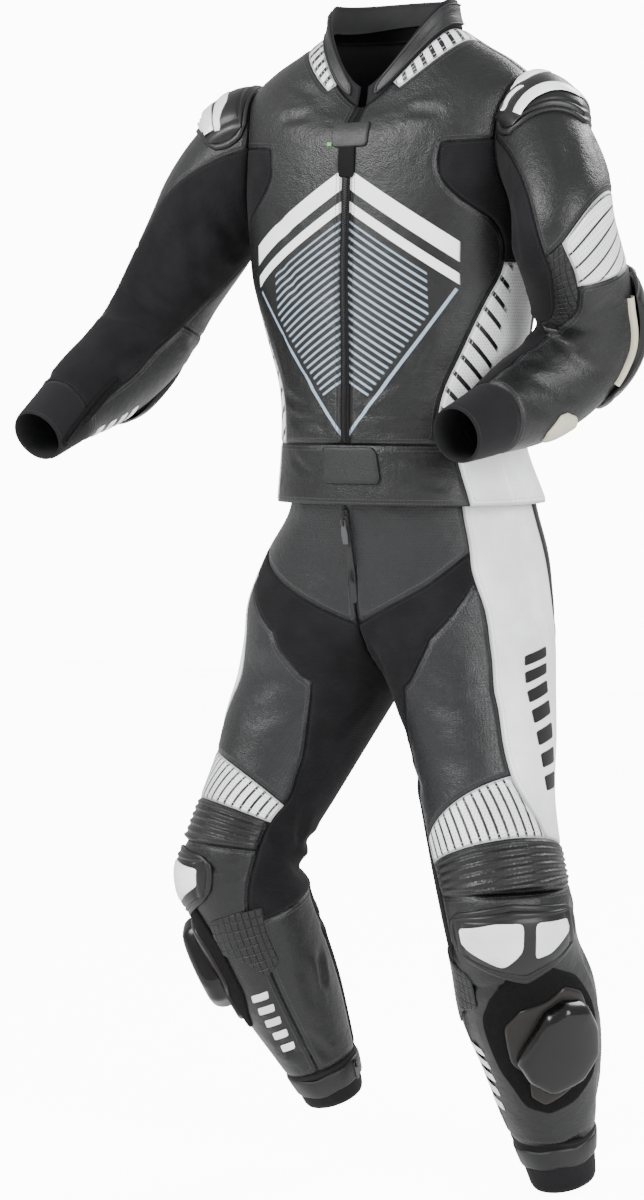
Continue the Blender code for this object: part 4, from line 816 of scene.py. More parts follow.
def leather(name, colour, thread, rough=0.40, holes=0.0, slits=None, art=None):
    """Grained leather. holes is how dark the perforation is; slits is the width share of the dark bars."""
    shop = Shop(name)
    edge = shop.measure("edge")
    tone = shop.noise(7.0, 5.0, 0.6).step(0.32, 0.72)
    mixed = shop.blend(darker(colour, 0.72), colour, tone)
    height = grain(shop)
    gloss = shop.noise(19.0, 5.0, 0.65) * 0.26 + (rough - 0.13)
    if slits:
        bar = (shop.measure("slit").part() - 0.5).abs()
        cut = bar.step(0.5 * slits + 0.02, 0.5 * slits - 0.02) * edge.step(0.0012, 0.0018)
        cut = cut * shop.measure("bars")
        mixed = shop.blend(mixed, BLACK, cut)
        height = height - cut * 0.0008
    if holes:
        row = shop.measure("cloth_v") / HOLES_DOWN
        x = (shop.measure("cloth_u") / HOLES_ACROSS + (row * 0.5).part().step(0.49, 0.51) * 0.5).part() - 0.5
        y = row.part() - 0.5
        dot = ((x * x) + (y * y)).math("SQRT").step(0.26, 0.18) * edge.step(0.009, 0.011)
        dot = dot * shop.measure("holes") * holes
        mixed = shop.blend(mixed, BLACK, dot)
        height = height - dot * 0.0004
    if art:
        mixed = art(shop, mixed)
    sewn = stitches(shop)
    mixed = shop.blend(mixed, thread, sewn * 0.8)
    height = height + sewn * 0.00030 - edge.step(0.0100, 0.0015) * 0.0005
    # painted shade: the leather darkens towards black within 4.5 mm of a panel's edge, in the groove where
    # the seam draws it in
    shade = edge.step(0.0045, 0.0) * 0.45
    return shop.finish(shop.blend(mixed, BLACK, shade), gloss, height, 0.5 if colour == WHITE else DULL)


def chest_art(shop, base):
    """A printed double chevron with fine pale lines under it."""
    side, up = shop.measure("cloth_u").abs(), shop.measure("up")
    slope = up + side * 0.62
    inside = side.step(0.152, 0.149)
    upper, lower = (slope + 0.150).abs().step(0.0125, 0.0118), (slope + 0.183).abs().step(0.0070, 0.0064)
    line = ((slope / 0.0098).part() - 0.5).abs().step(0.20, 0.15)
    under = up - side * 1.25
    lined = (slope + 0.300).abs().step(0.101, 0.099) * side.step(0.112, 0.110) * under.step(-0.46, -0.455)
    border = (under + 0.472).abs().step(0.0038, 0.0030) * (slope + 0.335).abs().step(0.139, 0.137)
    printed = shop.blend(base, PRINT, (line * lined).higher(border))
    return shop.blend(printed, WHITE, upper.higher(lower) * inside)


def grid_leather(name):
    """Dark leather moulded into small square blocks."""
    shop = Shop(name)
    across, down = (((shop.measure(key) / MOULDED).part() - 0.5).abs().step(0.38, 0.47)
                    for key in ("cloth_u", "cloth_v"))
    gap = across.higher(down)
    # painted shade: the grooves between the blocks are darkened towards black, besides the bump that sinks
    # them
    colour = shop.blend(rgb(0.0060, 0.0060, 0.0064), BLACK, gap)
    return shop.finish(colour, 0.42, grain(shop) - gap * 0.0026, DULL)


def stretch(name):
    """Finely ribbed stretch cloth."""
    shop = Shop(name)
    rib = (shop.measure("cloth_v") / RIB_PITCH).wave()
    height = rib * 0.00010 + shop.noise(1100.0, 1.0) * 0.00008 + shop.noise(18.0, 3.0) * 0.0014
    tone = shop.noise(24.0, 4.0).step(0.3, 0.75)
    # random tone of the cloth, with the rib valleys painted darker than the crests: painted shade
    colour = shop.blend(rgb(0.0045, 0.0041, 0.0048), rgb(0.0105, 0.0094, 0.0108), tone * (rib * 0.15 + 0.6))
    sewn = stitches(shop, (0.003,))
    return shop.finish(shop.blend(colour, rgb(0.012, 0.012, 0.013), sewn), 0.88, height + sewn * 0.0002,
                       0.16, **{"Sheen Weight": 0.02, "Sheen Roughness": 0.4})


def neoprene(name):
    """Smooth rubber cloth."""
    shop = Shop(name)
    height = shop.noise(1400.0, 1.0) * 0.00008 + shop.noise(30.0) * 0.0008
    colour = shop.blend(rgb(0.0042, 0.0038, 0.0045), rgb(0.0090, 0.0080, 0.0094), shop.noise(25.0, 4.0))
    sewn = stitches(shop, (0.004,))
    return shop.finish(shop.blend(colour, rgb(0.016, 0.016, 0.017), sewn), 0.80, height + sewn * 0.0002,
                       0.18, **{"Sheen Weight": 0.02})


def pile(name):
    """The soft side of hook tape."""
    shop = Shop(name)
    loops = shop.noise(850.0, 3.0, 0.8)
    colour = shop.blend(rgb(0.0004, 0.0004, 0.0004), rgb(0.0060, 0.0060, 0.0064), loops.step(0.40, 0.72))
    return shop.finish(colour, 1.0, loops * 0.0028, 0.08, **{"Sheen Weight": 0.03})


def plain(name, colour, rough, specular=0.5, bump=0.0001, scale=600.0, **uniform):
    """A smooth or softly grained material."""
    shop = Shop(name)
    mixed = shop.blend(darker(colour, 0.75), rgb(*colour[:3]), shop.noise(18.0, 4.0).step(0.3, 0.7))
    gloss = shop.noise(40.0, 4.0) * 0.2 + (rough - 0.1)
    return shop.finish(mixed, gloss, shop.noise(scale, 2.0) * bump, specular, **uniform)


MATERIALS = {}
DARK, WHITE, BLACK = rgb(0.0066, 0.0068, 0.0072), rgb(0.90, 0.905, 0.91), rgb(0.0015, 0.0015, 0.0016)
THREAD, WHITE_THREAD, PRINT = rgb(0.035, 0.035, 0.037), rgb(0.50, 0.51, 0.53), rgb(0.25, 0.32, 0.40)
PERFORATED, RIBBED = rgb(0.0100, 0.0104, 0.0114), rgb(0.0052, 0.0052, 0.0056)
DULL = 0.34  # specular level of the dark leather


def material_for(piece):
    """Name of the look of a cloth piece, and its material."""
    kind = kind_of(piece)
    bars = {"side": 0.27, "knee_stripes": 0.28, "elbow_stripes": 0.15, "neck_stripes": 0.40}
    if kind in ("thigh_front", "hip_front"):
        key, make = "leather_perforated", lambda n: leather(n, PERFORATED, THREAD, holes=0.8)
    elif kind == "front":
        key, make = "leather_front", lambda n: leather(n, DARK, THREAD, holes=0.8, art=chest_art)
    elif kind in bars:
        key, make = "white_" + kind, lambda n: leather(n, WHITE, WHITE_THREAD, holes=0.35, slits=bars[kind])
    elif kind in ("thigh_side", "waist_side"):
        key, make = "white_leather", lambda n: leather(n, WHITE, WHITE_THREAD)
    elif kind == "elbow_grid":
        key, make = "leather_grid", grid_leather
    elif kind == "knee_ribs":
        key, make = "leather_ribs", lambda n: leather(n, RIBBED, THREAD, 0.34)
    elif kind in ("underarm", "sleeve_inner", "leg_stretch"):
        key, make = "stretch", stretch
    elif kind in ("sleeve_cuff", "leg_cuff", "collar"):
        key, make = "neoprene", neoprene
    elif kind == "front_zip":
        key, make = "zip_tape", lambda n: plain(n, (0.0020, 0.0020, 0.0022), 0.7, 0.2)
    else:
        key, make = "leather_dark", lambda n: leather(n, DARK, THREAD)
    return key, stored(key, make)


def stored(key, make):
    """The material of this name, made when it is first asked for."""
    if key not in MATERIALS:
        MATERIALS[key] = make(key + "_look")
    return MATERIALS[key]


# ---------------------------------------------------------------- cloth pieces
def lay_block(bm, layers, net, owner, piece, base):
    """Lays a grid over a piece's cells of a net. base is the number of the net's first point."""
    cells = np.argwhere(owner == piece)
    if not len(cells):
        return
    (i0, j0), (i1, j1) = cells.min(axis=0) * FINE, (cells.max(axis=0) + 1) * FINE
    rows, columns = i1 - i0, j1 - j0
    verts = bmesh.ops.create_grid(bm, x_segments=int(columns), y_segments=int(rows), size=1.0)["verts"]
    width = net.points.shape[1]
    for vert in verts:
        j = j0 + round((vert.co.x + 1) / 2 * columns)
        i = i0 + round((vert.co.y + 1) / 2 * rows)
        vert[layers] = int(base + i * width + j)
        vert.co = net.points[i, j]
    drop = []
    for face in {f for v in verts for f in v.link_faces}:
        numbers = [v[layers] - base for v in face.verts]
        i, j = min(n // width for n in numbers) // FINE, min(n % width for n in numbers) // FINE
        if owner[i, j] != piece:
            drop.append(face)
    bmesh.ops.delete(bm, geom=drop, context="FACES")


def edge_lengths(points, bm):
    """Distance of each point to the piece's edge, and how far along the edge its nearest place lies."""
    open_edges = [e for e in bm.edges if e.is_boundary]
    follow = {}
    for e in open_edges:
        for v in e.verts:
            follow.setdefault(v.index, []).append(e)
    left, lines, run = set(open_edges), [], 0.0
    for first in open_edges:
        if first not in left:
            continue
        edge, vert = first, first.verts[0]
        while edge in left:
            left.discard(edge)
            other = edge.other_vert(vert)
            length = edge.calc_length()
            lines.append((tuple(vert.co), tuple(other.co), run, length))
            run += length
            vert = other
            edge = next((e for e in follow[vert.index] if e in left), edge)
    a, b = np.array([l[0] for l in lines]), np.array([l[1] for l in lines])
    start, length = np.array([l[2] for l in lines]), np.array([l[3] for l in lines])
    edge, place = np.empty(len(points)), np.empty(len(points))
    for k in range(0, len(points), BATCH):
        p = points[k:k + BATCH, None]
        f = np.clip(np.sum((p - a) * (b - a), axis=2) / np.maximum(length, 1e-9)**2, 0, 1)
        d = np.linalg.norm(p - a - f[..., None] * (b - a), axis=2)
        best = d.argmin(axis=1)
        rows = np.arange(len(best))
        edge[k:k + BATCH] = d[rows, best]
        place[k:k + BATCH] = start[best] + f[rows, best] * length[best]
    return edge, place


def cut_size(u, v):
    """Width and length of the smallest rectangle that the flat cut fits in."""
    sizes = [(float(np.ptp(u * np.cos(a) + v * np.sin(a))), float(np.ptp(v * np.cos(a) - u * np.sin(a))))
             for a in np.radians(np.arange(0, 90, 3))]
    return min(sizes, key=lambda size: size[0] * size[1])


def store(mesh, name, values):
    layer = mesh.attributes.new(name, "FLOAT", "POINT")
    layer.data.foreach_set("value", np.asarray(values, np.float32))


def line_cloth(item):
    """Gives a cloth piece its thickness and its lining."""
    shell = item.modifiers.new("thickness", "SOLIDIFY")
    shell.thickness, shell.offset = SHELL, -1.0
    shell.use_quality_normals = True
    item.data.materials.append(look("lining"))
    shell.material_offset = 1


def put(item, slot, replaces=()):
    """Shows a piece: it rides with the suit and may stand for solids. slot is not used."""
    bpy.context.scene.collection.objects.link(item)
    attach(item, "suit")
    if replaces:
        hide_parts(*replaces)
    return item


SLOTS = {"leather": "leather", "white": "white_leather", "stretch": "stretch_cloth", "neoprene": "neoprene",
         "zip": "zip_tape"}
SHEETS = []


def gather(nets, key):
    """One value of all the nets' points, a row each."""
    return np.concatenate([getattr(net, key).reshape(net.around.size, -1) for net, _ in nets])


def piece_mesh(bm, layer, points, normals, heights):
    """Turns the faces outward and raises the points by their heights, given their distance to the edge."""
    bmesh.ops.delete(bm, geom=[v for v in bm.verts if not v.link_faces], context="VERTS")
    bmesh.ops.remove_doubles(bm, verts=bm.verts, dist=SAME_POINT)
    bmesh.ops.recalc_face_normals(bm, faces=bm.faces)
    for part in (bm.verts, bm.faces):
        part.ensure_lookup_table()
    bm.verts.index_update()
    number = np.array([v[layer] for v in bm.verts])
    points, normals = points[number], normals[number]
    face = bm.faces[len(bm.faces) // 2]
    if np.dot(np.array(face.normal), normals[face.verts[0].index]) < 0:
        bmesh.ops.reverse_faces(bm, faces=bm.faces)
    edge, run = edge_lengths(points, bm)
    for vert, co in zip(bm.verts, points + normals * heights(number, edge)[:, None]):
        vert.co = co
    return number, points, edge, run


def sew(nets):
    """Makes every piece of one group of nets."""
    bases = np.cumsum([0] + [net.around.size for net, _ in nets])[:-1]
    points, normals, v_all = (gather(nets, key) for key in ("points", "normals", "v"))
    around_all, along_all = (gather(nets, key)[:, 0] for key in ("around", "along"))
    folds = np.concatenate([fold_height(net.part, net.points).ravel() for net, _ in nets])
    owners = [np.array([[piece_of(i, j) or "" for j in range((net.around.shape[1] - 1) // FINE)]
                        for i in range((net.around.shape[0] - 1) // FINE)]) for net, piece_of in nets]
    for piece in sorted({name for owner in owners for name in owner.ravel()} - {""}):
        kind = kind_of(piece)
        bm = bmesh.new()
        layer = bm.verts.layers.int.new("number")
        for (net, _), owner, base in zip(nets, owners, bases):
            lay_block(bm, layer, net, owner, piece, base)

        def heights(number, edge):
            dip = SEAM_DIP * np.clip(1 - edge / SEAM_REACH, 0, 1)**2
            return folds[number] - dip + RELIEF.get(kind, flat)(around_all[number], along_all[number], edge)

        number, spots, edge, run = piece_mesh(bm, layer, points, normals, heights)
        area = sum(f.calc_area() for f in bm.faces)
        mesh = bpy.data.meshes.new(piece + "_cloth")
        bm.to_mesh(mesh)
        bm.free()
        mesh.shade_smooth()
        whole = next(net.whole for (net, _), owner in zip(nets, owners) if piece in owner)
        around, along = around_all[number], along_all[number]
        cut = cut_at(around, whole)
        if cut is not None:
            around = cut + np.mod(around - cut, whole)
            around = around - whole * np.floor(around.mean() / whole + 0.25)
        u, v = np.empty(len(number)), v_all[number, 0]
        for (net, _), base in zip(nets, bases):
            mine = (number >= base) & (number < base + net.around.size)
            u[mine] = net.arc(around[mine], along[mine])
        bars, slit = bar_places(kind, around, along, u, v)
        # the perforation of the jacket's front starts under the chest
        holes = np.clip((-0.16 - spots[:, 2]) / 0.02, 0, 1) if "front" in piece else np.ones(len(u))
        for key, values in (("edge", edge), ("run", run), ("cloth_u", u), ("cloth_v", v), ("up", spots[:, 2]),
                            ("slit", slit), ("bars", bars), ("holes", holes)):
            store(mesh, key, values)
        item = bpy.data.objects.new(piece + "_cloth", mesh)
        key, material = material_for(piece)
        mesh.materials.append(material)
        line_cloth(item)
        put(item, SLOTS[key.partition("_")[0]], [piece])
        SHEETS.append((item, cut_size(u, v), area))


def flat(around, along, edge):
    return np.zeros(len(around))


def bar_places(kind, around, along, u, v):
    """Where the dark bars of a striped piece run: 1 inside their stretch, and a count of the bars."""
    if kind == "side":
        ahead = np.clip((75.5 - np.abs(around)) / 0.6, 0, 1)
        return ahead, (v + 1.03 * np.abs(u)) / 0.0307 + 0.35
    if kind == "elbow_stripes":
        return np.ones(len(u)), (along - 0.45 * around - 1.873) / 0.185 + 0.5
    if kind == "neck_stripes":
        return np.ones(len(u)), np.abs(u) / 0.0155
    return np.ones(len(u)), u / 0.0118


def rib_wave(row):
    """0 between the ribs and 1 on top of each, counted in ribs."""
    return 0.5 - 0.5 * np.cos(2 * np.pi * row)


def knee_rib_height(around, along, edge):
    top, end, ribs = 8.0, 8.68, 6
    return 0.0022 * rib_wave((along - top) / (end - top) * ribs) * np.clip(edge / 0.006, 0, 1)


def waist_rib_height(around, along, edge):
    ribbed, ribs = BELT[2], 8
    past = np.abs(around) - ribbed.start
    inside = np.clip(past / 2, 0, 1) * np.clip(edge / 0.005, 0, 1)
    return 0.0024 * rib_wave(past / (ribbed.end - ribbed.start) * ribs) * inside


RELIEF = {"knee_ribs": knee_rib_height, "waist_side": waist_rib_height}


# Soft folds on each body part: where the trough starts and ends (round, then along), its depth and half
# width in millimetres, and how far it bows along the part in the middle. A low ridge lies on each side.
Fold = namedtuple("Fold", "from_around from_along to_around to_along depth width bow")
FOLDS = {
    "torso": [
        # belly and waist
        (-39, 1.44, -7, 1.28, 2.4, 7, 0.05), (16, 1.24, 46, 1.36, 2.6, 7, -0.04),
        (-45, 1.88, -21, 1.6, 2, 6, 0.03), (10, 1.8, 27, 2.16, 1.8, 6, 0), (4, 1.55, 20, 1.5, 1.4, 5, 0.02),
        (-30, 2.3, -12, 2.05, 1.4, 7, 0), (-38, 3.04, -36, 2.16, 2.8, 9, 0), (37, 3.04, 31, 2.16, 2.8, 9, 0),
        (-21, 3.6, -30, 4.4, 2, 8, 0), (24, 3.9, 33, 3.2, 1.6, 9, 0),
        # chest beside the arms
        (-42, 6.7, -36, 6, 2.8, 8, 0), (40, 6.8, 34, 6.1, 2.4, 8, 0), (20, 8.2, 36, 7.6, 1.8, 9, 0),
        (-18, 8.3, -34, 7.5, 2, 9, 0), (-50, 9.3, -25, 9.6, 1.6, 8, 0), (-32, 5.4, -24, 4.7, 1.8, 9, 0),
        # waistband
        (-38, 0.8, -16, 0.4, 1.8, 6, 0), (25, 0.44, 48, 0.28, 2, 5, 0), (20, 0.72, 45, 0.8, 1.8, 5, 0),
        (-50, 0.3, -30, 0.55, 1.4, 5, 0),
        # back and flanks
        (140, 1.3, 175, 1.5, 2.8, 8, 0.04), (188, 1.4, 222, 1.25, 2.4, 8, 0), (150, 1.95, 178, 2.1, 2, 8, 0),
        (192, 2.25, 216, 1.9, 2.2, 8, 0), (135, 3.2, 151, 2.4, 3, 11, 0), (226, 3.3, 211, 2.5, 2.8, 11, 0),
        (164, 2.9, 197, 3, 2.2, 10, 0.06), (150, 6.5, 161, 5.6, 3, 10, 0), (209, 6.6, 200, 5.7, 3, 10, 0),
        (168, 8.7, 192, 8.6, 2.2, 10, 0), (146, 4.5, 168, 4.2, 1.8, 10, 0), (94, 1.5, 118, 1.8, 2, 7, 0),
        (140, 0.35, 172, 0.6, 1.8, 6, 0), (192, 0.7, 220, 0.4, 1.8, 6, 0),
    ],
    "sleeve_right": [
        (0.3, 0.6, 0.48, 0.5, 3, 10, 0.06), (0.43, 0.4, 0.61, 1.43, 3.8, 11, 0),
        (0.36, 0.95, 0.52, 1.75, 3, 10, 0), (0.495, 1.93, 0.645, 2.73, 3.6, 10, 0),
        (0.4, 2.95, 0.6, 3.3, 3.6, 10, 0.1), (0.37, 3.5, 0.62, 3.85, 4.2, 10, 0.12),
        (0.34, 4.1, 0.56, 4.3, 3, 9, 0), (0.675, 4.6, 0.65, 6.05, 3, 8, 0), (0.1, 4.4, 0.25, 4.95, 2.5, 9, 0),
        (0.14, 5.4, 0.3, 5.8, 2, 8, 0), (0.8, 1, 0.9, 1.9, 3, 10, 0), (0.74, 2.3, 0.95, 2.7, 3, 9, 0),
        (-0.12, 5.9, 0.05, 6.4, 2.2, 7, 0), (0.3, 6.3, 0.45, 6.7, 1.8, 7, 0),
        (0.72, 3.6, 0.86, 3.9, 2.4, 9, 0), (0.06, 1.2, 0.14, 1.8, 1.8, 9, 0),
    ],
    "sleeve_left": [
        (0.36, 0.5, 0.44, 1.6, 3, 10, 0), (0.45, 3.3, 0.26, 3.95, 3.6, 11, -0.1),
        (0.42, 4.6, 0.18, 4.5, 3, 10, 0.15), (0.3, 6.35, 0.17, 5.25, 2.6, 9, 0),
        (0.24, 6.75, 0.13, 6, 2.2, 7, 0), (0, 0.95, 0.02, 1.45, 2.8, 9, 0),
        (0.28, 3.15, 0.18, 2.85, 2.4, 9, 0), (0.5, 3, 0.64, 3.4, 4, 10, 0),
        (0.48, 3.6, 0.66, 3.8, 4.2, 10, 0), (0.5, 4.3, 0.66, 4.4, 3, 9, 0), (0.8, 1.2, 0.9, 2, 3, 10, 0),
        (0.78, 2.4, 0.95, 2.7, 3, 9, 0), (0.72, 5.2, 0.85, 5.8, 2.5, 8, 0),
        (-0.18, 5.6, -0.1, 6.4, 2.2, 8, 0), (0.1, 0.95, 0.17, 1.45, 2, 10, 0),
        (0.34, 5.6, 0.44, 6.4, 2.2, 8, 0),
    ],
    "leg_left": [
        (0.015, 3.83, 0.09, 4.85, 3.6, 10, 0), (0.02, 5.1, 0.09, 5.9, 2.8, 10, 0),
        (0.02, 6.3, 0.1, 6.9, 2.2, 10, 0), (0.15, 6, 0.26, 6.7, 1.6, 12, 0), (0.2, 5, 0.31, 5.6, 1.6, 12, 0),
        (0.07, 8.74, 0.42, 8.82, 4.8, 6, -0.1), (0.04, 9.2, 0.085, 9.7, 2.4, 7, 0),
        (0.06, 10.1, 0.22, 9.98, 3.4, 7, 0), (0.02, 13.62, 0.42, 13.45, 5, 5.5, 0.15),
        (0.02, 14.02, 0.4, 14.12, 3.4, 5, 0), (0.08, 10.4, 0.05, 12.7, 2.4, 8, 0),
        (0.46, 10.1, 0.49, 11.6, 2.8, 9, 0), (0.44, 12.4, 0.49, 13.3, 2.2, 8, 0),
        (0.44, 9, 0.5, 9.6, 2.6, 8, 0), (0.62, 8.8, 0.95, 8.9, 4.2, 10, 0.1),
        (0.6, 9.35, 0.95, 9.3, 5, 11, 0.1), (0.62, 9.9, 0.92, 9.8, 4, 10, 0),
        (0.6, 7.9, 0.9, 8.1, 3.2, 10, 0), (0.6, 10.8, 0.8, 11.3, 3, 9, 0), (0.7, 12.5, 0.9, 13.1, 3, 9, 0),
        (0.6, 3.2, 0.8, 4, 3.4, 12, 0), (0.68, 2.2, 0.86, 2.6, 2.8, 12, 0), (0.62, 4.9, 0.86, 5, 3.2, 10, 0),
        (0.06, 1.1, 0.16, 1.4, 1.4, 8, 0), (0.9, 11, 0.99, 12.2, 2.6, 8, 0),
        (0.36, 3.4, 0.42, 4.6, 1.4, 12, 0),
    ],
    "leg_right": [
        (0.035, 3.85, 0.12, 5.2, 3, 10, 0), (0.055, 5.25, 0.04, 6.1, 3, 9, 0),
        (0.16, 5.4, 0.26, 6.2, 1.6, 12, 0), (0.925, 7.3, 0.835, 8.38, 3, 10, 0),
        (0.98, 7.9, 0.76, 9.2, 4.2, 10, 0), (0.3, 8.76, 0.06, 8.86, 4.8, 6, -0.08),
        (0.12, 8.95, -0.03, 9.02, 3.6, 6, 0), (0.105, 12.23, 0.045, 13.03, 2.6, 8, 0),
        (0.14, 12.7, 0, 12.92, 3.2, 6, 0), (0.995, 12.38, 0.92, 13.38, 3, 7, 0),
        (0.835, 11.1, 0.87, 11.9, 3.6, 7, 0), (0.91, 11, 0.92, 12.2, 2.2, 10, 0),
        (-0.04, 13.84, 0.13, 13.8, 4, 6, 0), (0.03, 6.58, -0.04, 7.45, 2.6, 10, 0),
        (0.62, 8.8, 0.9, 8.9, 4.2, 10, 0.1), (0.6, 9.35, 0.9, 9.3, 5, 11, 0.1),
        (0.6, 7.9, 0.85, 8.1, 3.2, 10, 0), (0.6, 10.6, 0.8, 11, 3, 9, 0), (0.6, 3.2, 0.8, 4, 3.4, 12, 0),
        (0.68, 2.2, 0.86, 2.6, 2.8, 12, 0), (0.62, 4.9, 0.86, 5, 3.2, 10, 0),
        (0.44, 9.2, 0.5, 10.4, 2.8, 9, 0), (0.44, 12.2, 0.5, 13.2, 2.4, 8, 0),
        (0.06, 1.1, 0.18, 1.5, 1.4, 8, 0),
    ],
}


# ---------------------------------------------------------------- pieces sewn on top
def surface_mesh(name, points, surface, slot, replaces=(), places=None):
    """An object from a net of points, with its folded edges welded."""
    rows, columns = points.shape[:2]
    bm = bmesh.new()
    layer = bm.verts.layers.int.new("number")
    for vert in bmesh.ops.create_grid(bm, x_segments=columns - 1, y_segments=rows - 1, size=1.0)["verts"]:
        j, i = round((vert.co.x + 1) / 2 * (columns - 1)), round((vert.co.y + 1) / 2 * (rows - 1))
        vert[layer] = i * columns + j
        vert.co = points[i, j]
    bmesh.ops.remove_doubles(bm, verts=bm.verts, dist=1e-6)
    bmesh.ops.recalc_face_normals(bm, faces=bm.faces)
    middle = points.reshape(-1, 3).mean(axis=0)
    if sum(np.dot(np.array(f.normal), np.array(f.calc_center_median()) - middle) for f in bm.faces) < 0:
        bmesh.ops.reverse_faces(bm, faces=bm.faces)
    number = np.array([v[layer] for v in bm.verts])
    mesh = bpy.data.meshes.new(name)
    bm.to_mesh(mesh)
    bm.free()
    mesh.shade_smooth()
    for key, values in (places or {}).items():
        store(mesh, key, values.ravel()[number])
    mesh.materials.append(look(surface))
    return put(bpy.data.objects.new(name, mesh), slot, replaces)


def closed_line(outline, steps=8, soften=2):
    """The outline in small steps, its corners a little rounded."""
    corners = np.array(outline, float)
    line = np.concatenate([a + (b - a) * np.linspace(0, 1, steps, endpoint=False)[:, None]
                           for a, b in zip(corners, np.roll(corners, -1, axis=0))])
    for _ in range(soften):
        line = (np.roll(line, 1, axis=0) + 2 * line + np.roll(line, -1, axis=0)) / 4
    return np.concatenate([line, line[:1]])


def patch(name, at, outline, height, surface, slot, lift=LIFT, rim=0.2, soften=2, crown=0.0, replaces=()):
    """A piece with this outline, given as places, its rim rounded over and its middle raised by crown."""
    line = closed_line(outline, soften=soften)
    middle = line[:-1].mean(axis=0)
    round_over = 1 - rim * (1 - np.sin(np.linspace(0.3, np.pi / 2, 5)))
    share = np.concatenate([np.linspace(0, 1 - rim, PATCH_RINGS), round_over, [1.0]])
    drop = np.clip((share - (1 - rim)) / rim, 0, 1)
    rise = height * np.sqrt(np.maximum(1 - drop**2, 0)) + crown * (1 - share**2)
    rise[-1] = -lift * 0.8
    net = middle + (line[None] - middle) * share[:, None, None]
    points, normals = at(net[..., 0], net[..., 1])
    return surface_mesh(name, points + normals * (lift + rise)[:, None, None], surface, slot, replaces,
                        {"cloth_u": net[..., 0] * 0.5, "cloth_v": net[..., 1] * 0.05})


def open_line(path, steps=10):
    """A smooth line through these places."""
    return through(path, np.linspace(0, len(path) - 1, (len(path) - 1) * steps + 1))


# Across a band: place in half widths, and height as a share of the band's.
BAND_SECTION = ((-1.0, -0.3), (-0.97, 0.5), (-0.75, 1.0), (0.0, 1.1), (0.75, 1.0), (0.97, 0.5), (1.0, -0.3))


def band(name, at, path, half, height, surface, slot, lift=LIFT, closed=False):
    """A strip along a line of places, half as wide as half to each side."""
    line = closed_line(path) if closed else open_line(path)
    points, normals = at(line[:, 0], line[:, 1])
    if closed:
        along = np.roll(points[:-1], -1, axis=0) - np.roll(points[:-1], 1, axis=0)
        along = np.concatenate([along, along[:1]])
    else:
        along = np.gradient(points, axis=0)
    across = unit(np.cross(normals, along))
    half = np.interp(np.linspace(0, 1, len(points)), np.linspace(0, 1, np.size(half)), np.atleast_1d(half))
    net = np.stack([points + across * (half * w)[:, None] + normals * (lift + h * height)
                    for w, h in BAND_SECTION], axis=1)
    return surface_mesh(name, net, surface, slot)


def pad_at(kind, side, shape):
    """Points on top of a protector: places from -1 to 1 across and down it, shape giving its height."""
    pad = PADS[kind][side]
    below = on(("sleeve_" if kind in ("shoulder_cup", "elbow_slider") else "leg_") + side)

    def base(x, y):
        bend = 1 - np.abs(x)
        top = np.where(x < 0, pad.top_from, pad.top_to) * (1 - bend) + pad.top_middle * bend
        end = np.where(x < 0, pad.end_from, pad.end_to) * (1 - bend) + pad.end_middle * bend
        across = pad.around_from + (pad.around_to - pad.around_from) * (x + 1) / 2
        return across, top + (end - top) * (y + 1) / 2

    def at(x, y):
        x, y = np.broadcast_arrays(np.asarray(x, float), np.asarray(y, float))
        points, normals = below(*base(x, y))
        return points + normals * shape(pad, x, y)[..., None], normals

    return at


def rounded(x, y, cut=0.30):
    """Squeezes a square of places into one with round corners."""
    return x * np.sqrt(1 - cut * y**2 / 2), y * np.sqrt(1 - cut * x**2 / 2)


def cup_height(pad, x, y):
    """A domed protector with a raised padded rim and a groove inside it."""
    d = np.maximum(np.abs(x), np.abs(y))
    edge = np.sqrt(np.clip(1 - (np.clip(d - 0.90, 0, 0.10) / 0.10)**2, 0, 1))
    groove = np.exp(-((d - 0.80) / 0.035)**2)
    dome = pad.rim * 0.8 + pad.dome * np.clip(1 - np.abs(x)**2.6, 0, 1) * np.clip(1 - np.abs(y)**2.6, 0, 1)
    return 0.0012 + edge * (dome + 0.0012 * np.exp(-((d - 0.90) / 0.05)**2) - 0.0014 * groove)


def cup(kind, side, insets, surface):
    """A protector with its white insets, and a padded border sewn round it."""
    name = kind + "_" + side
    x, y = np.meshgrid(*(np.linspace(-1, 1, count) for count in CUP_NET))
    at = pad_at(kind, side, cup_height)
    points, _ = at(*rounded(x, y))
    surface_mesh(name + "_shell", points, surface, "hard_protector", [name])
    below = pad_at(kind, side, lambda pad, x, y: np.zeros(x.shape))
    turn = np.linspace(0, 2 * np.pi, 60, endpoint=False)
    square = 1 / np.maximum(np.abs(np.cos(turn)), np.abs(np.sin(turn)))
    ring = np.stack(rounded(np.cos(turn) * square, np.sin(turn) * square), -1) * 1.045
    if kind != "elbow_slider":
        band(name + "_border", below, ring[::2], 0.0046, 0.0030, "border", "leather", closed=True)
    for n, outline in enumerate(insets, 1):
        patch(name + "_inset_%d" % n, at, outline, 0.0010, "gloss_white", "hard_protector", lift=0.0003,
              rim=0.10, crown=0.0004)


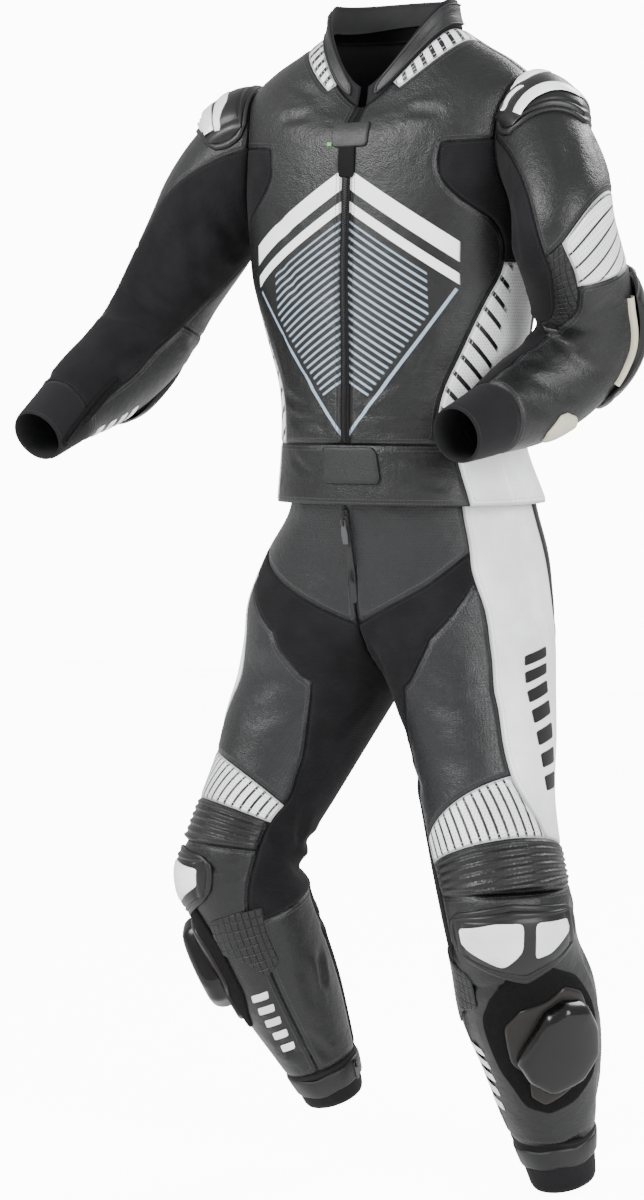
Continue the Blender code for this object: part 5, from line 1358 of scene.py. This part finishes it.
# Small looks by name: colour, roughness, specular level, and the height and scale of the grain.
LOOKS = {
    "border": ((0.0050, 0.0050, 0.0054), 0.40, 0.35, 0.0003, 700.0),
    "gloss_white": ((0.92, 0.925, 0.93), 0.28, 0.5, 0.00002),
    "cup": ((0.0040, 0.0040, 0.0043), 0.38, 0.35, 0.00012, 900.0),
    "cream": ((0.52, 0.50, 0.38), 0.42, 0.5, 0.00006),
    "puck": ((0.0018, 0.0018, 0.0019), 0.20, 0.34, 0.00012, 60.0),
    "puck_base": ((0.0075, 0.0055, 0.0045), 0.36, 0.3, 0.00008),
    "trim": ((0.0090, 0.0092, 0.0098), 0.42, 0.34, 0.0004, 800.0),
    "piping": ((0.022, 0.022, 0.023), 0.5, 0.3),
    "black_cloth": ((0.0020, 0.0020, 0.0022), 0.75, 0.15, 0.0002, 1200.0),
    "white_print": ((0.90, 0.90, 0.90), 0.5),
    "black_print": ((0.0040, 0.0040, 0.0043), 0.45, 0.3),
    "green": ((0.10, 0.42, 0.08), 0.6),
    "teeth": ((0.0050, 0.0050, 0.0054), 0.32, 0.35),
    "lining": ((0.012, 0.012, 0.013), 0.85),
}
LOOK_MAKERS = {"pile": pile, "grid": grid_leather,
               "steel": lambda name: plain(name, (0.05, 0.05, 0.055), 0.32, Metallic=1.0)}


def look(name):
    """One of the small materials."""
    return stored(name, LOOK_MAKERS.get(name) or (lambda full: plain(full, *LOOKS[name])))


def collar_nets():
    half = half_columns(np.array([len(TORSO) - 1.0]))[0]
    share = np.linspace(0, 1, 3 * FINE + 1)
    nets = []
    for columns in (half, -half[::-1]):
        around = np.broadcast_to(columns, (len(share), len(columns)))
        along = np.broadcast_to(share[:, None], around.shape)
        nets.append((Net("collar", collar, around, along, TORSO_REACH, 360.0,
                         lambda along: along * COLLAR_HEIGHT), lambda row, column: "collar"))
    return nets


def boxes(name, rows, surface, slot):
    """One object of several boxes, each given as its centre, size and axes."""
    bm = bmesh.new()
    for centre, size, axes in rows:
        turn = Matrix(np.array(axes).T.tolist()).to_4x4()
        place = Matrix.Translation(Vector(centre)) @ turn @ Matrix.Diagonal((*size, 1.0))
        bmesh.ops.create_cube(bm, size=1.0, matrix=place)
    mesh = bpy.data.meshes.new(name)
    bm.to_mesh(mesh)
    bm.free()
    mesh.materials.append(look(surface))
    return put(bpy.data.objects.new(name, mesh), slot)


def teeth(name, points, normals, lift=0.0008):
    """Teeth of a closed zip along a line."""
    pitch, width = 0.0030, 0.0030
    length = length_along(points)
    places = np.arange(pitch, length[-1] - pitch, pitch / 2)
    spots, ahead, out = (np.stack([np.interp(places + more, length, source[:, n]) for n in range(3)], -1)
                         for source, more in ((points, 0.0), (points, 0.001), (normals, 0.0)))
    down, out = unit(ahead - spots), unit(out)
    across = np.cross(out, down)
    sway = np.where(np.arange(len(places)) % 2, 0.37, -0.37)[:, None] * width
    centres = spots + out * lift + across * sway
    rows = [(c, (width, 0.0011, 0.0016), (a, d, o)) for c, a, d, o in zip(centres, across, down, out)]
    return boxes(name, rows, "teeth", "zip_tape")


def zip_along(name, at, path):
    """A zip sewn on the cloth: its tape and teeth."""
    band(name + "_tape", at, path, 0.0075, 0.0012, "black_cloth", "zip_tape")
    points, normals = at(*open_line(path, 24).T)
    teeth(name + "_teeth", points, normals, LIFT + 0.0020)


def bars(name, at, count, first, pitch, outline, height, surface, slot):
    """A row of bars down a body part, all of one outline."""
    for n in range(count):
        patch("%s_%d" % (name, n + 1), at, [(u, first + pitch * n + v) for u, v in outline], height, surface,
              slot, soften=1)


sew(jacket_nets())
sew([belt_net()])
sew([trouser_net("left"), trouser_net("right")])
sew(collar_nets())

# White insets of the protectors: places across and down each one.
KNEE_INSETS = [[(-0.84, -0.52), (-0.30, -0.74), (0.10, -0.70), (0.02, -0.05), (-0.30, 0.62), (-0.84, 0.30)],
               [(0.26, -0.70), (0.80, -0.56), (0.82, -0.02), (0.40, 0.36), (0.16, 0.30)]]
INSETS = {
    ("shoulder_cup", "left"): [
        [(-0.62, -0.80), (-0.40, -0.88), (0.10, -0.82), (0.16, -0.62), (-0.15, -0.38), (-0.42, -0.36)],
        [(-0.86, -0.60), (-0.68, -0.62), (-0.52, -0.30), (-0.50, -0.12), (-0.66, -0.26), (-0.84, -0.26)]],
    ("shoulder_cup", "right"): [
        [(-0.30, -0.10), (-0.16, -0.34), (-0.50, -0.42), (-0.72, -0.05), (-0.87, 0.10), (-0.84, 0.36),
         (-0.60, 0.14)],
        [(-0.34, 0.72), (-0.52, 0.66), (-0.76, 0.74), (-0.70, 0.90), (-0.40, 0.92)]],
    ("knee_cup", "left"): KNEE_INSETS, ("knee_cup", "right"): KNEE_INSETS,
    ("elbow_slider", "left"): [], ("elbow_slider", "right"): []}
for (kind, side), insets in INSETS.items():
    cup(kind, side, insets, "puck" if kind == "elbow_slider" else "cup")
ARMS, LEGS = ({side: on(part + side) for side in HAND} for part in ("sleeve_", "leg_"))
ELBOW_STRIP = [(0.098, 3.15), (0.122, 3.45), (0.135, 3.85), (0.130, 4.25), (0.102, 4.60)]
ELBOW_DOWN = {"left": 0.0, "right": 0.75}  # how many rings further down the arm the strip starts
GUARD = [(0.02, 6.25), (0.08, 6.23), (0.135, 5.95), (0.135, 5.75), (0.10, 5.53), (0.02, 5.43), (-0.01, 5.75)]
for side, arm in ARMS.items():
    band("shoulder_cup_" + side + "_arc", pad_at("shoulder_cup", side, cup_height),
         [(-0.80, 0.62), (-0.55, 0.42), (-0.20, 0.34), (0.15, 0.38), (0.50, 0.50)],
         [0.008, 0.0095, 0.0095, 0.008], 0.0012, "gloss_white", "hard_protector", lift=0.0002)
    band("elbow_slider_" + side + "_strip", arm, [(u, v + ELBOW_DOWN[side]) for u, v in ELBOW_STRIP],
         0.0052, 0.0042, "cream", "hard_protector")
    patch("forearm_" + side + "_guard", arm, GUARD, 0.0030, "cream", "hard_protector")
    zip_along("sleeve_zip_" + side, arm,
              [(0.70, 6.03), (0.71, 6.53), (0.735, 7.03), (0.77, 7.55), (0.81, 7.90)])

# The strap of hook tape, the slider's base and the slider itself on each shin, from the slider's middle in
# half widths round the leg and half lengths down it.
SHIN_PIECES = {
    "tape": [(0.2, -1.85), (-0.6, -1.72), (-1.26, -1.24), (-1.63, -0.70), (-1.63, 0.62), (-1.10, 1.47),
             (-0.37, 1.68), (0.47, 1.53), (1.16, 1.18), (1.47, 0.56), (1.42, -0.20), (1.16, -1.14)],
    "base": [(0.63, -1.11), (0.10, -0.94), (-0.58, -0.89), (-1.06, -0.54), (-1.16, 0.35), (-0.79, 0.71),
             (-0.84, 1.20), (-0.47, 1.43), (0.0, 1.29), (0.47, 1.09), (0.90, 0.29), (1.05, -0.28),
             (1.05, -0.75)],
    "puck": [(0.90, -0.62), (0.42, -0.86), (-0.05, -0.75), (-0.98, 0.18), (-0.80, 0.71), (-0.32, 1.10),
             (0.47, 0.95), (0.98, 0.55), (1.05, -0.03)]}
KNEE_GRID = [(0.115, 9.82), (0.02, 9.70), (-0.04, 9.68), (-0.03, 10.15), (-0.035, 10.85), (0.012, 11.05),
             (0.055, 10.65), (0.120, 10.45)]
for side, shin in LEGS.items():
    pad = PADS["knee_slider"][side]
    middle = (pad.around_from + pad.around_to) / 2, (pad.top_middle + pad.end_middle) / 2
    reach = (pad.around_to - pad.around_from) / 2, (pad.end_middle - pad.top_middle) / 2
    outlines = {key: [(middle[0] + x * reach[0], middle[1] + y * reach[1]) for x, y in rows]
                for key, rows in SHIN_PIECES.items()}
    patch("hook_tape_" + side, shin, outlines["tape"], 0.0022, "pile", "stretch_cloth", rim=0.05)
    patch("slider_base_" + side, shin, outlines["base"], 0.0040, "puck_base", "slider_plastic",
          lift=0.0030, rim=0.08)
    patch("knee_slider_" + side + "_puck", shin, outlines["puck"], 0.0200, "puck", "slider_plastic",
          lift=0.0065, rim=0.22, soften=1, crown=0.0030, replaces=["knee_slider_" + side])
    patch("knee_grid_" + side, shin, KNEE_GRID, 0.0016, "grid", "leather", rim=0.06)
    bars("shin_bar_" + side, shin, 5, 11.35, 0.30,
         ((0.030, 0.0), (0.085, 0.06), (0.090, 0.22), (0.035, 0.16)), 0.0007, "white_print", "white_leather")
    bars("thigh_bar_" + side, shin, 7, 4.05, 0.44,
         ((0.446, 0.13), (0.510, -0.07), (0.510, 0.21), (0.446, 0.41)), 0.0007, "black_print", "leather")
    bars("forearm_bar_" + side, ARMS[side], 4, 5.60, 0.34,
         ((-0.150, 0.0), (-0.085, 0.06), (-0.080, 0.24), (-0.145, 0.18)), 0.0006,
         "white_print", "white_leather")

# Flap, placket and tag at the top of the front zip, the waistband's tab, and the collar's trim.
body = on("torso")
patch("zip_placket", body, [(-3.2, 6.86), (3.2, 6.86), (3.6, 6.02), (-3.0, 6.02)], 0.0020,
      "black_cloth", "zip_tape", rim=0.08)
patch("zip_flap_cover", body,
      [(-6.4, 6.95), (-6.4, 7.78), (-5.4, 7.92), (7.9, 7.92), (8.0, 6.76), (-5.4, 6.76)], 0.0024,
      "trim", "leather", lift=0.0008, rim=0.06, soften=1, replaces=["zip_flap"])
patch("zip_flap_tag", body, [(-8.2, 6.92), (-6.2, 6.92), (-6.2, 6.80), (-8.2, 6.80)], 0.0010,
      "green", "leather")
patch("waistband_tab_cover", body,
      [(-12.8, 0.35), (-12.8, 0.96), (14.3, 0.96), (16.0, 0.86), (16.0, 0.45), (14.3, 0.35)], 0.0030,
      "trim", "leather", lift=0.0008, rim=0.06, soften=1, replaces=["waistband_tab"])
neck = on("collar")
COLLAR_TRIM = [(12, 0.24), (13, 0.66), (22, 0.80), (60, 0.84), (148, 0.80), (154, 0.50), (148, 0.18),
               (60, 0.14), (22, 0.16)]
for side in ("right", "left"):
    outline = [(HAND[side] * a, b) for a, b in COLLAR_TRIM]
    patch("collar_trim_" + side, neck, outline, 0.0014, "trim", "leather", rim=0.05)
    band("collar_piping_" + side, neck, outline, 0.0011, 0.0024, "piping", "leather", closed=True)

# The shins' hems hang a little over the cuffs, in short waves.
turn = np.linspace(0.0, 1.0, 37)
wave = 0.03 * np.sin(turn * 2 * np.pi * 3 + 0.8) + 0.02 * np.sin(turn * 2 * np.pi * 7)
for side, hem in (("left", 14.04), ("right", 13.97)):
    band("shin_hem_" + side, LEGS[side], np.stack([turn, hem + wave], -1), 0.0140, 0.0024,
         "trim", "leather")

# Tapes inside the wall that close the seams at the neck and between the trouser halves.
band("neck_tape", body, [(a, 10.97) for a in range(12, 349, 24)], 0.010, 0.0010, "black_cloth",
     "zip_tape", lift=-0.0045)


def trouser_middle(u, v):
    """The line where the trouser halves meet: place 0 is in front, 1 behind."""
    points, normals = LEGS["left"](u, v)
    return points * (0, 1, 1), normals * (0, 1, 1)


for name, place, first in (("fly_seam_tape", 0.0, 2.50), ("seat_seam_tape", 1.0, 1.02)):
    band(name, trouser_middle, [(place, level) for level in np.linspace(first, CROTCH - 0.03, 8)], 0.006,
         0.0010, "black_cloth", "leather", lift=-0.0044)

# Teeth of the front zip and the fly, and the slider of the ankle's zip.
points, normals = body(0.0, np.linspace(1.02, 10.95, 300))
teeth("front_zip_teeth", points - unit(normals) * 0.0006, normals)
points, normals = LEGS["left"](0.0, np.linspace(0.98, 2.50, 60))
teeth("fly_zip_teeth", points, normals * (0, 1, 1), ZIP_LIFT + FLY + 0.0004)
net = trouser_net("right")[0]
row, column = (np.array(ANKLE_PULL_ROWS) * FINE).astype(int), int(ANKLE_PULL_COLUMN * FINE)
top, end = (net.points[i, column:column + 2].mean(axis=0) for i in row)
out = unit(net.normals[row[0], column:column + 2].mean(axis=0))
down = unit(end - top)
out = unit(out - down * (out @ down))
across = np.cross(down, out)
boxes("ankle_zip_slider", [(top + down * (b.start + b.end) / 2 + out * (b.low + b.top) / 2,
                            (b.width, b.end - b.start, b.top - b.low), (across, down, out)) for b in SLIDER],
      "steel", "dark_metal")

LEAST_FILLED = 0.31  # smallest share of its rectangle that a sheet's area is raised to
for item, size, area in SHEETS:
    whole = size[0] * size[1]
    min(max(area, LEAST_FILLED * whole), whole)


# ---------------------------------------------------------------- setting
def stage_floor():
    bm = bmesh.new()
    lowest = Matrix.Translation((0, 0, CAD_BOX[0][2]))
    bmesh.ops.create_grid(bm, x_segments=2, y_segments=2, size=6.0, matrix=lowest)
    mesh = bpy.data.meshes.new("floor")
    bm.to_mesh(mesh)
    bm.free()
    item = bpy.data.objects.new("floor", mesh)
    bpy.context.scene.collection.objects.link(item)
    shop = Shop("floor")
    glow = shop.blend(rgb(0.0, 0.0, 0.0), rgb(1.0, 1.0, 1.0), shop.node("LightPath"))
    shine = {"Emission Color": glow, "Emission Strength": 10.5}
    mesh.materials.append(shop.finish(rgb(0.9, 0.9, 0.9), 0.8, **shine))


def light(name, place, size, power):
    """A rectangular light that faces the middle of the suit."""
    data = bpy.data.lights.new(name, "AREA")
    data.shape, data.size, data.size_y, data.energy = "RECTANGLE", size[0], size[1], power
    item = bpy.data.objects.new(name, data)
    item.location = place
    item.rotation_euler = (Vector((0.0, 0.0, -0.68)) - Vector(place)).to_track_quat("-Z", "Y").to_euler()
    bpy.context.scene.collection.objects.link(item)


stage_floor()
light("key_light", (-1.8, -3.2, 1.6), (1.8, 1.8), 230)
light("fill_light", (3.2, -1.6, 0.6), (1.6, 2.2), 160)
light("back_light", (0.5, 3.0, 1.8), (2.0, 1.2), 110)
world = bpy.data.worlds.new("studio")
bpy.context.scene.world = world
world.use_nodes = True
backdrop = world.node_tree.nodes["Background"]
seen, mixed = (world.node_tree.nodes.new(kind) for kind in ("ShaderNodeLightPath", "ShaderNodeMixRGB"))
mixed.inputs["Color1"].default_value = rgb(1.0, 1.0, 1.0)
mixed.inputs["Color2"].default_value = rgb(12.0, 12.0, 12.0)
world.node_tree.links.new(seen.outputs["Is Camera Ray"], mixed.inputs["Fac"])
world.node_tree.links.new(mixed.outputs["Color"], backdrop.inputs["Color"])
backdrop.inputs["Strength"].default_value = 1.0

lens = bpy.data.cameras.new("camera")
lens.lens, lens.sensor_width, lens.sensor_fit = 99.54, 36.0, "AUTO"
camera = bpy.data.objects.new("camera", lens)
yaw, elevation, distance = np.radians(32), np.radians(4), 4.2
ahead = np.array([-np.sin(yaw) * np.cos(elevation), np.cos(yaw) * np.cos(elevation), -np.sin(elevation)])
target = np.array([-0.07622, -0.04763, -0.677])
camera.location = target - ahead * distance
camera.rotation_euler = Vector(ahead).to_track_quat("-Z", "Y").to_euler()
bpy.context.scene.collection.objects.link(camera)
bpy.context.scene.camera = camera
